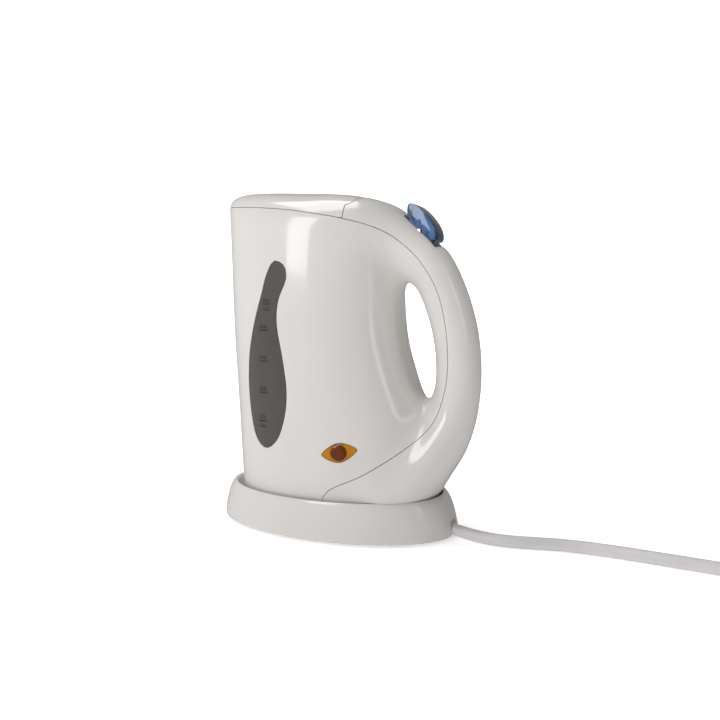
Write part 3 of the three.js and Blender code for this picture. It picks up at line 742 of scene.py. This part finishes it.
M = {}
M["white_shell"] = plain(
    "gloss_white", (0.655, 0.632, 0.61), 0.15, spread=0.012, rough_spread=0.03, scale=22, bump=0.03,
    bump_scale=260, IOR=1.5, Subsurface_Weight=0.0, Coat_Weight=0.35, Coat_Roughness=0.06, Coat_IOR=1.5,
)
M["inner_plastic"] = plain("satin_white", (0.62, 0.60, 0.57), 0.42, bump=0.12)
M["dark_plastic"] = plain("black_nylon", (0.025, 0.026, 0.028), 0.45, spread=0.15, bump=0.2)
M["foot_rubber"] = plain("foot_rubber", (0.55, 0.54, 0.51), 0.75, spread=0.05, bump=0.3, bump_scale=600)
M["gasket_rubber"] = plain("gasket_rubber", (0.02, 0.02, 0.02), 0.6, spread=0.2, bump=0.3)
M["steel"] = plain(
    "stainless", (0.62, 0.62, 0.63), 0.28, spread=0.05, rough_spread=0.1, scale=60, bump=0.1, metallic=1.0
)
M["contact_brass"] = plain(
    "brass", (0.78, 0.60, 0.28), 0.25, spread=0.05, rough_spread=0.08, scale=80, metallic=1.0
)
M["pin_nickel"] = plain(
    "nickel", (0.72, 0.71, 0.69), 0.18, spread=0.04, rough_spread=0.06, scale=90, metallic=1.0
)
M["cord_sheath"] = plain(
    "white_pvc", (0.60, 0.575, 0.585), 0.36, spread=0.02, rough_spread=0.05, scale=60, bump=0.15,
    bump_scale=500,
)
M["wire_sheath"] = plain("wire_pvc", (0.16, 0.12, 0.2), 0.45, spread=0.1)
M["lamp_glass"] = plain(
    "lamp_glass", (0.9, 0.55, 0.3), 0.05, rough_spread=0.02, bump=0.0, Transmission_Weight=0.7, IOR=1.45
)
M["amber_lens"] = plain(
    "amber", (0.72, 0.27, 0.004), 0.10, spread=0.12, rough_spread=0.03, scale=90, bump=0.05,
    Transmission_Weight=0.35, IOR=1.49, Coat_Weight=0.5, Coat_Roughness=0.03,
)
M["amber_dome"] = plain(
    "amber_dark", (0.16, 0.036, 0.004), 0.14, spread=0.25, rough_spread=0.05, scale=260, bump=0.6,
    bump_scale=520, Transmission_Weight=0.25, IOR=1.49, Coat_Weight=0.6, Coat_Roughness=0.04,
)
M["window"] = plain(
    "smoked_window", (0.088, 0.084, 0.080), 0.16, spread=0.05, rough_spread=0.03, scale=14, bump=0.02,
    Transmission_Weight=0.12, IOR=1.49, Coat_Weight=0.3, Coat_Roughness=0.05,
)
M["blue_switch"] = plain(
    "blue_clear", (0.06, 0.12, 0.25), 0.06, spread=0.2, rough_spread=0.03, scale=120, bump=0.05,
    Transmission_Weight=0.8, IOR=1.49, Coat_Weight=0.4, Coat_Roughness=0.03,
)
M["print"] = plain("print_ink", (0.006, 0.006, 0.006), 0.5, spread=0.1, bump=0.05)


def dress(obj, slot, body, mat=None):
    obj.data.materials.clear()
    obj.data.materials.append(M[mat or slot])
    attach(obj, body)
    return obj


# ---- shared bodies ----
SEAM_LINE = catmull(SEAM, 60)
LENS_EDGE = catmull(LENS, 64, True)
WINDOW_EDGE = shrink(catmull(WINDOW, 88, True), -WINDOW_GROW)


def moulding(name, distance, step, level=0.0):
    obj = make(name, *skin(distance, step, level))
    outward(obj)
    return obj


inner = moulding("inner", kettle_distance, 2.6, WALL)
pot = moulding("pot", pot_distance, 2.6, WALL)
pot_outside = moulding("pot_outside", pot_distance, 3.0, 0.1)
foot_ring = loft([(BASE_X, 61.6, 39.2, 4), (BASE_X, 61.9, 39.4, RIM_TOP + 1)])
foot = carve(block(-100, 110, -60, 60, 5, RIM_TOP, "foot"), ("DIFFERENCE", foot_ring))
above_foot = block(-100, 110, -60, 60, KETTLE_BOTTOM, 210)
outer = carve(
    moulding("outer", kettle_distance, 1.6), ("INTERSECT", above_foot), ("DIFFERENCE", foot)
)
body_outline = [*beside(SEAM_LINE, -GAP / 2), (-92, 6)]
seam_outline = [*beside(SEAM_LINE, GAP / 2), (-92, 6)]
beyond_seam = carve(
    block(-100, 110, -SIDE, SIDE, 4, 215, "beyond_seam"),
    ("DIFFERENCE", prism(seam_outline, -SIDE - 1, SIDE + 1)),
)


def barrel(radius):
    return rod((HINGE_X, -SIDE, HINGE_Z), (HINGE_X, SIDE, HINGE_Z), radius, 64)


def wet_space():
    deck = [tuple(p) for p in beside(SEAM_LINE, -3) if p[0] > MOUTH_REAR and p[1] > 95]
    outline = [
        (-90, VESSEL_FLOOR),
        (DRY_X, VESSEL_FLOOR),
        (DRY_X, DRY_TOP),
        (DRY_X + 6, DRY_TOP + 5),
        (46, DRY_TOP + 9),
        (60, DRY_TOP + 11),
        *deck[::-1],
        (MOUTH_REAR, SEAM_TOP),
        (-90, SEAM_TOP),
    ]
    return carve(copy(pot, "wet"), ("INTERSECT", prism(outline, -SIDE, SIDE)))


def dry_space():
    outline = [
        (DRY_X + 3, KETTLE_BOTTOM - 4),
        (80, KETTLE_BOTTOM - 4),
        (80, DRY_TOP + 9),
        (47, DRY_TOP + 5.6),
        (DRY_X + 7.6, DRY_TOP + 1.2),
        (DRY_X + 3, DRY_TOP - 2),
    ]
    behind = carve(block(-10, 100, -SIDE, SIDE, DRY_TOP, 190, "behind"), ("DIFFERENCE", pot_outside))
    under = block(-90, 80, -SIDE, SIDE, KETTLE_BOTTOM - 4, VESSEL_FLOOR - 3)
    corner = prism(outline, -SIDE, SIDE)
    return carve(behind, ("UNION", under), ("UNION", corner), ("INTERSECT", inner))


SHELL = [(kettle_distance, 0.0), (kettle_distance, WALL), (pot_distance, WALL)]


def body_moulding():
    obj = carve(
        copy(outer, "body_moulding"),
        ("INTERSECT", prism(body_outline, -SIDE, SIDE)),
        ("DIFFERENCE", wet_space()),
        ("DIFFERENCE", dry_space()),
        ("DIFFERENCE", prism(WINDOW_EDGE, -SIDE, SIDE)),
        ("DIFFERENCE", prism(LENS_EDGE, -SIDE, -20)),
    )
    return shade(obj, SHELL)


def lid_moulding():
    top = block(0, 40, -SIDE, SIDE, HINGE_Z - BARREL - 1, SEAM_TOP)
    rear = carve(barrel(LID_HEEL), ("INTERSECT", block(HINGE_X - 4.2, HINGE_X, -SIDE, SIDE, 160, SEAM_TOP)))
    region = carve(
        barrel(BARREL),
        ("INTERSECT", top),
        ("UNION", rear),
        ("UNION", block(-100, HINGE_X - 4, -SIDE, SIDE, 160, SEAM_TOP)),
    )
    under_lid = block(-100, HINGE_X - 4.6, -SIDE, SIDE, 150, SEAM_TOP)
    hollow = carve(copy(inner, "hollow"), ("INTERSECT", under_lid))
    obj = carve(
        copy(outer, "lid_moulding"),
        ("INTERSECT", beyond_seam),
        ("INTERSECT", region),
        ("DIFFERENCE", hollow),
        ("DIFFERENCE", block(HINGE_X - 4.2, HINGE_X + 9, EAR_IN - GAP, EAR_OUT + GAP, 150, SEAM_TOP)),
        ("DIFFERENCE", block(HINGE_X - 4.2, HINGE_X + 9, -EAR_OUT - GAP, -EAR_IN + GAP, 150, SEAM_TOP)),
        ("DIFFERENCE", rod((HINGE_X, -EAR_OUT - 2, HINGE_Z), (HINGE_X, EAR_OUT + 2, HINGE_Z), 1.5)),
    )
    return shade(obj, SHELL[:2])


def handle_moulding():
    front = HINGE_X + 0.5
    hollow_region = carve(
        block(front + 3, 110, -SIDE, SIDE, 6, SEAM_TOP), ("UNION", block(-20, 110.01, -SIDE, SIDE, 5.9, 100))
    )
    hollow = carve(copy(inner, "handle_hollow"), ("INTERSECT", hollow_region))
    path = carve(barrel(BARREL + 1.3), ("INTERSECT", block(0, 40, -SIDE, SIDE, HINGE_Z + 0.6, SEAM_TOP)))
    slot = prism(ROCKER_SLOT, -ROCKER_HALF - 0.5, ROCKER_HALF + 0.5)
    shell = carve(
        block(front, 110, -SIDE, SIDE, 6, SEAM_TOP, "handle_shell"),
        ("UNION", block(-20, 110.01, -SIDE, SIDE, 5.9, 100)),
        ("DIFFERENCE", barrel(BARREL + 0.4)),
        ("DIFFERENCE", path),
        ("DIFFERENCE", hollow),
        ("DIFFERENCE", slot),
    )
    for side in (-1, 1):
        y0, y1 = sorted((side * EAR_IN, side * EAR_OUT))
        ear = block(HINGE_X, front + 5, y0, y1, HINGE_Z - 3.4, SEAM_TOP)
        knuckle = rod((HINGE_X, y0, HINGE_Z), (HINGE_X, y1, HINGE_Z), BARREL, 64)
        y0, y1 = sorted((side * (ROCKER_HALF + 0.5), side * (ROCKER_HALF + 3)))
        lug = block(ROCKER_X - 3.4, ROCKER_X + 3.4, y0, y1, ROCKER_Z - 4, 180)
        carve(shell, ("UNION", ear), ("UNION", knuckle), ("UNION", lug))
    obj = carve(
        copy(outer, "handle_moulding"),
        ("INTERSECT", beyond_seam),
        ("INTERSECT", shell),
        ("DIFFERENCE", rod((HINGE_X, 1 - EAR_OUT, HINGE_Z), (HINGE_X, EAR_OUT - 1, HINGE_Z), 1.5)),
    )
    return shade(obj, SHELL[:2])


def lid_lining():
    lid = np.array([p for p in SEAM_LINE if p[0] < 20 and p[1] > 100])

    def band(low, high):
        return prism([*beside(lid, -low), *beside(lid, -high)[::-1]], -SIDE, SIDE)

    low = carve(band(6, 0.4), ("INTERSECT", block(-100, MOUTH_REAR - 0.6, -SIDE, SIDE, 150, 200)))
    high = carve(band(1, -1), ("INTERSECT", block(-100, HINGE_X - 5.2, -SIDE, SIDE, 150, 200)))
    hollow = moulding("lining_hollow", pot_distance, 3.0, WALL + 2.6)
    mouth = block(-100, MOUTH_REAR - 2.4, -SIDE, SIDE, 150, 200)
    well = carve(hollow, ("INTERSECT", band(4, -4)), ("INTERSECT", mouth))
    obj = moulding("lid_lining", pot_distance, 2.4, WALL + 0.8)
    lower = copy(obj, "lower")
    lower.location.z = -4 * MM
    lowest = copy(obj, "lowest")
    lowest.location.z = -8 * MM
    bpy.context.view_layer.update()
    carve(low, ("UNION", high))
    carve(obj, ("INTERSECT", lower), ("INTERSECT", lowest), ("INTERSECT", low), ("DIFFERENCE", well))
    return shade(obj, [(pot_distance, WALL + 0.8), (pot_distance, WALL + 2.6)])


def window(name, low, high):
    edge = shrink(WINDOW_EDGE, GAP)
    obj = carve(copy(outer, name), ("INTERSECT", prism(edge, low, high)), ("DIFFERENCE", inner))
    return shade(obj, SHELL[:2])


def lens():
    edge = shrink(LENS_EDGE, GAP)
    obj = carve(
        copy(outer, "lens_amber"), ("INTERSECT", prism(edge, -SIDE, -20)), ("DIFFERENCE", inner)
    )
    return shade(obj, SHELL[:2])


def surface_y(x, z, side=-1, lift=0.0):
    """How far out the skin is at the places x, z of the side view, on the side given."""
    x, z = np.atleast_1d(np.array(x, float)), np.atleast_1d(np.array(z, float))
    near, far = np.zeros(x.shape), np.full(x.shape, 55.0)
    for _ in range(30):
        mid = (near + far) / 2
        inside = kettle_distance(x, mid, z) < lift
        near = np.where(inside, mid, near)
        far = np.where(inside, far, mid)
    return side * (near + far) / 2


# ---- smaller pieces ----
def lens_dome():
    x, z = 16.8, 48.8
    y = float(surface_y(x, z)[0])
    out = gradient(kettle_distance, np.array([[x, y, z]]))[0]
    rows = [(0, -1.2), (4.4, -1.2), (4.4, 0.25)]
    for angle in range(0, 90, 10):
        t = math.radians(angle)
        rows.append((4.2 * math.cos(t), 0.45 + 0.75 * math.sin(t)))
    obj = lathe([*rows, (0, 1.2)], (x, y, z), out, 64, "lens_dome")
    return smooth(obj, 50)


def marks(side):
    """Printed scale on a window: a line and a figure for every tenth of a litre."""
    verts, faces = [], []

    def lay(points, polygons):
        start = len(verts)
        pts = np.array(points, float)
        ys = surface_y(pts[:, 0], pts[:, 1], side, 0.06)
        verts.extend(zip(pts[:, 0], ys, pts[:, 1]))
        order = 1 if side < 0 else -1
        faces.extend([tuple(start + i for i in p[::order]) for p in polygons])

    def line(x0, x1, z, thick=0.55):
        n = 8
        xs = np.linspace(x0, x1, n + 1)
        lay([(x, z - thick / 2) for x in xs] + [(x, z + thick / 2) for x in xs],
            [(i, i + 1, n + 2 + i, n + 1 + i) for i in range(n)])

    def word(text, x, z, size):
        curve = bpy.data.curves.new("word", "FONT")
        curve.body = text
        curve.size = size
        curve.align_x = "CENTER"
        curve.resolution_u = 3
        obj = bpy.data.objects.new("word", curve)
        bpy.context.collection.objects.link(obj)
        graph = bpy.context.evaluated_depsgraph_get()
        mesh = bpy.data.meshes.new_from_object(obj.evaluated_get(graph))
        flip = 1 if side < 0 else -1
        faces_of_word = [tuple(p.vertices) for p in mesh.polygons]
        lay([(x + flip * v.co.x, z + v.co.y) for v in mesh.vertices], faces_of_word)
        bpy.data.objects.remove(obj)
        bpy.data.curves.remove(curve)
        bpy.data.meshes.remove(mesh)

    for litres, z, x in MARKS:
        line(x - MARK_HALF, x + MARK_HALF, z)
        word(litres, x, z + 1.2 if litres != "0.6L" else z - 3.6, 3.1)
    word("max", -26.0, 128.1, 2.9)
    word("min", -30.0, 58.9, 2.9)
    return make("scale_left" if side < 0 else "scale_right", verts, faces)


def rocker():
    outline = catmull(ROCKER, 72, True)
    obj = prism(outline, -ROCKER_HALF, ROCKER_HALF, "rocker_blue")
    carve(obj, ("DIFFERENCE", rod((ROCKER_X, -9, ROCKER_Z), (ROCKER_X, 9, ROCKER_Z), 1.4)))
    return soften(obj, 0.7, 3)


def base_moulding():
    obj = loft(
        [
            (BASE_X, 60.6, 37.4, TRAY_FLOOR - 2),
            (BASE_X, 66.4, 40, TRAY_FLOOR - 2.4),
            (BASE_X, 68.2, 40.6, 9),
            (BASE_X, 70, 41.2, 4),
            (BASE_X, 70.2, 41.3, BASE_EDGE),
            (BASE_X, 71.9, 43.0, BASE_EDGE),
            (BASE_X, 72.3, 43.35, BASE_EDGE + 0.35),
            (BASE_X, 72.5, 43.5, 3),
            (BASE_X, 72.3, 43.42, 5),
            (BASE_X, 71.8, 43.2, 8),
            (BASE_X, 71.1, 43.08, 11),
            (BASE_X, 70.2, 42.9, 14),
            (BASE_X, 69.3, 42.72, 16.6),
            (BASE_X, 68.2, 42.5, 19),
            (BASE_X, 67.4, 42.34, 20.4),
            (BASE_X, 66.5, 42.12, 21.5),
            (BASE_X, 65.9, 41.9, 22.1),
            (BASE_X, 65.2, 41.65, 22.5),
            (BASE_X, 64.6, 41.35, RIM_TOP),
            (BASE_X, 63.9, 40.9, 22.4),
            (BASE_X, 63.4, 40.5, 21.9),
            (BASE_X, 63.1, 40.3, 21.2),
            (BASE_X, 62.6, 40.1, TRAY_FLOOR + 0.6),
            (BASE_X, 62.1, 39.7, TRAY_FLOOR),
        ],
        224,
        name="base_moulding",
    )
    arch = carve(rod((52, 0, 5.6), (80, 0, 5.6), 4.8), ("UNION", block(52, 80, -4.8, 4.8, -2, 5.6)))
    edge = carve(rod((65.4, 0, 5.6), (67, 0, 5.6), 6.4), ("INTERSECT", block(60, 70, -7, 7, BASE_EDGE, 13)))
    steps = [("UNION", edge), ("DIFFERENCE", arch)]
    for x, y in BASE_SCREWS:
        steps.append(("UNION", rod((x, y, 3.6), (x, y, TRAY_FLOOR - 1), 4)))
        steps.append(("DIFFERENCE", rod((x, y, 1), (x, y, 11), 1.5)))
    return smooth(carve(obj, *steps), 38)


def rubber_foot(i, x, y):
    edge = FOOT_RADIUS
    profile = [(0, 0), (edge - 0.9, 0), (edge - 0.3, 0.25), (edge, 0.8), (edge, 2.1), (0, 2.1)]
    return smooth(lathe(profile, (x, y, 0), (0, 0, 1), 64, "rubber_foot_%d" % i), 40)


def plug():
    profile = [(0, 0), (4.6, 0), (5.1, 0.6), (5.6, 4), (6.4, 8), (7.1, 12), (8.4, 16), (10.8, 19.4)]
    profile += [(14.2, 22), (16.6, 24.2), (17.9, 26.6), (18.4, 29), (18.4, 34.8)]
    profile += [(18.1, 35.6), (17.4, 36), (0, 36)]
    obj = lathe(profile, PLUG, (1, 0, 0), 96, "plug_moulding")
    grip = block(PLUG[0] + 8, PLUG[0] + 25, PLUG[1] - 5, PLUG[1] + 5, PLUG[2] - 11, PLUG[2] + 11)
    carve(obj, ("UNION", grip))
    for side in (-9.5, 9.5):
        y = PLUG[1] + side
        carve(obj, ("DIFFERENCE", rod((PLUG[0] + 30, y, PLUG[2]), (PLUG[0] + 40, y, PLUG[2]), 2.7)))
    for i in range(3):
        x = PLUG[0] + 2.4 + 2.6 * i
        core = rod((x - 1, PLUG[1], PLUG[2]), (x + 2, PLUG[1], PLUG[2]), 5.0 + 0.35 * i)
        groove = rod((x, PLUG[1], PLUG[2]), (x + 0.9, PLUG[1], PLUG[2]), 12)
        carve(groove, ("DIFFERENCE", core))
        carve(obj, ("DIFFERENCE", groove))
    return smooth(obj, 30)


def plug_pin(i, side):
    rows = [(0, 0), (2.4, 0), (2.4, 22.6), (2.1, 23.8), (1.4, 24.5), (0, 24.7)]
    obj = lathe(rows, (PLUG[0] + 30.3, PLUG[1] + side, PLUG[2]), (1, 0, 0), 48, "plug_prong_%d" % i)
    return smooth(obj, 50)


def cord_points():
    """Centre line: out of the base, along the table, two turns of the coil, then up into the plug."""
    points = [np.array(p, float) for p in CORD_ROUTE]
    points.append(np.array([235, -2, 3.3]))
    steps = 60
    for i in range(steps + 1):
        u = 720 * i / steps
        rise = smooth_step(306, 356, u) * COIL_LAYER
        reach = COIL_RADIUS + COIL_LAYER * smooth_step(590, 662, u)
        t = math.radians(u - 90)
        points.append(np.array([COIL_X + reach * math.cos(t), COIL_Y + reach * math.sin(t), 3.3 + rise]))
    return points + [np.array(p, float) for p in CORD_TAIL]


def cord():
    curve = bpy.data.curves.new("mains_cord", "CURVE")
    curve.dimensions = "3D"
    curve.bevel_depth = CORD_RADIUS * MM
    curve.bevel_resolution = 8
    curve.resolution_u = 6
    curve.use_fill_caps = True
    points = cord_points()
    spline = curve.splines.new("NURBS")
    spline.points.add(len(points) - 1)
    for point, p in zip(spline.points, points):
        point.co = (*((p + (SHIFT, 0, 0)) * MM), 1)
    spline.order_u = 4
    spline.use_endpoint_u = True
    obj = bpy.data.objects.new("mains_cord", curve)
    bpy.context.collection.objects.link(obj)
    return obj


# ---- cord first, then the rest of the object ----
mains_cord = cord()
mains_cord.data.materials.append(M["cord_sheath"])
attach(mains_cord, "base")
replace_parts(mains_cord, "cord_lead", "cord_coil", "cord_tail")
plug_moulding = dress(plug(), "cord_sheath", "base")
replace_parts(plug_moulding, "plug_body")
for number, offset in ((1, -9.5), (2, 9.5)):
    prong = dress(plug_pin(number, offset), "pin_nickel", "base")
    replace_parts(prong, "plug_pin_%d" % number)

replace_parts(dress(base_moulding(), "white_shell", "base"), "base_cover")
for number, (foot_x, foot_y) in enumerate(FEET, 1):
    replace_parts(dress(rubber_foot(number, foot_x, foot_y), "foot_rubber", "base"), "base_foot_%d" % number)

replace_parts(dress(body_moulding(), "white_shell", "kettle"), "body_shell")
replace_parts(dress(handle_moulding(), "white_shell", "kettle"), "handle_cover")
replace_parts(dress(window("window_pane_left", -SIDE, -20), "window", "kettle"), "window_left")
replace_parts(dress(window("window_pane_right", 20, SIDE), "window", "kettle"), "window_right")
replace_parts(dress(lens(), "amber_lens", "kettle"), "pilot_lens")
dress(lens_dome(), "amber_lens", "kettle", "amber_dome")
dress(marks(-1), "dark_plastic", "kettle", "print")
dress(marks(1), "dark_plastic", "kettle", "print")
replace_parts(dress(lid_moulding(), "white_shell", "lid"), "lid_cover")
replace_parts(dress(lid_lining(), "inner_plastic", "lid"), "lid_liner")
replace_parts(dress(rocker(), "blue_switch", "switch"), "switch_rocker")

# Everything that only helped to cut is taken away again.
for obj in list(bpy.context.collection.objects):
    if obj.type == "MESH" and "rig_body" not in obj and "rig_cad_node" not in obj:
        drop(obj)

# The pieces kept from the solids get the finish of their slot.
SLOTS = {row["node"]: row["material_slot"] for row in frame["record"]["subparts"]}
for name, node in frame["nodes"].items():
    if node.hide_render:
        continue
    node.data.materials.clear()
    node.data.materials.append(M[SLOTS[name]])


# ---- stage ----
def glowing_floor():
    """Pale paper with painted light: it glows more the further it lies from the object."""
    mat = plain("pale_floor_glow", (0.93, 0.93, 0.93), 0.6, spread=0.01, scale=6, bump=0.0)
    nodes, links = mat.node_tree.nodes, mat.node_tree.links
    where = nodes.new("ShaderNodeTexCoord")
    length = nodes.new("ShaderNodeVectorMath")
    length.operation = "LENGTH"
    links.new(where.outputs["Object"], length.inputs[0])
    span = nodes.new("ShaderNodeMapRange")
    span.inputs["From Min"].default_value = 0.1
    span.inputs["From Max"].default_value = 0.9
    span.inputs["To Min"].default_value = 0.42
    span.inputs["To Max"].default_value = 0.95
    links.new(length.outputs["Value"], span.inputs["Value"])
    bsdf = nodes["Principled BSDF"]
    # Painted light: the floor itself emits light, dimmer near the object and brighter further away.
    bsdf.inputs["Emission Color"].default_value = (1, 1, 1, 1)
    links.new(span.outputs["Result"], bsdf.inputs["Emission Strength"])
    return mat


def backdrop():
    """Floor that sweeps up into a wall behind, square to the camera."""
    ahead = Vector((-math.sin(VIEW_AZIMUTH), math.cos(VIEW_AZIMUTH), 0))
    right = Vector((math.cos(VIEW_AZIMUTH), math.sin(VIEW_AZIMUTH), 0))
    rows = [(-3.0, 0.0), (1.5, 0.0)]
    rows += [(1.5 + math.sin(math.radians(a)), 1 - math.cos(math.radians(a))) for a in range(6, 91, 6)]
    rows.append((2.5, 4.0))
    verts, faces = [], []
    for d, h in rows:
        for side in (-4.0, 4.0):
            verts.append(tuple(ahead * d + right * side + Vector((0, 0, h))))
    for i in range(len(rows) - 1):
        faces.append((2 * i, 2 * i + 1, 2 * i + 3, 2 * i + 2))
    mesh = bpy.data.meshes.new("backdrop")
    mesh.from_pydata(verts, [], faces)
    mesh.polygons.foreach_set("use_smooth", [True] * len(mesh.polygons))
    obj = bpy.data.objects.new("backdrop", mesh)
    bpy.context.collection.objects.link(obj)
    obj.data.materials.append(glowing_floor())
    obj.visible_glossy = False


def softbox(name, place, aim, size, power):
    data = bpy.data.lights.new(name, "AREA")
    data.shape = "RECTANGLE"
    data.size, data.size_y = size
    data.energy = power
    obj = bpy.data.objects.new(name, data)
    obj.location = place
    obj.rotation_euler = (Vector(aim) - Vector(place)).to_track_quat("-Z", "Y").to_euler()
    bpy.context.collection.objects.link(obj)


def world():
    """Pale room, brighter on the side of the spout."""
    made = bpy.data.worlds.new("world")
    made.use_nodes = True
    nodes, links = made.node_tree.nodes, made.node_tree.links
    where = nodes.new("ShaderNodeTexCoord")
    split = nodes.new("ShaderNodeSeparateXYZ")
    links.new(where.outputs["Generated"], split.inputs["Vector"])
    span = nodes.new("ShaderNodeMapRange")
    span.inputs["From Min"].default_value = -1.0
    span.inputs["From Max"].default_value = 0.8
    span.inputs["To Min"].default_value = 0.42
    span.inputs["To Max"].default_value = 0.04
    links.new(split.outputs["X"], span.inputs["Value"])
    links.new(span.outputs["Result"], nodes["Background"].inputs["Strength"])
    nodes["Background"].inputs["Color"].default_value = (1, 1, 1, 1)
    bpy.context.scene.world = made


backdrop()
world()
softbox("key", (-0.36, -1.1, 0.7), (0, 0, 0.1), (0.46, 0.9), 6)
softbox("top", (-0.2, -0.1, 1.2), (0, 0, 0.1), (0.8, 0.6), 6)
softbox("rim", (0.95, -0.25, 0.55), (0, 0, 0.12), (0.16, 0.7), 0.6)
bpy.context.scene.view_settings.view_transform = "Standard"
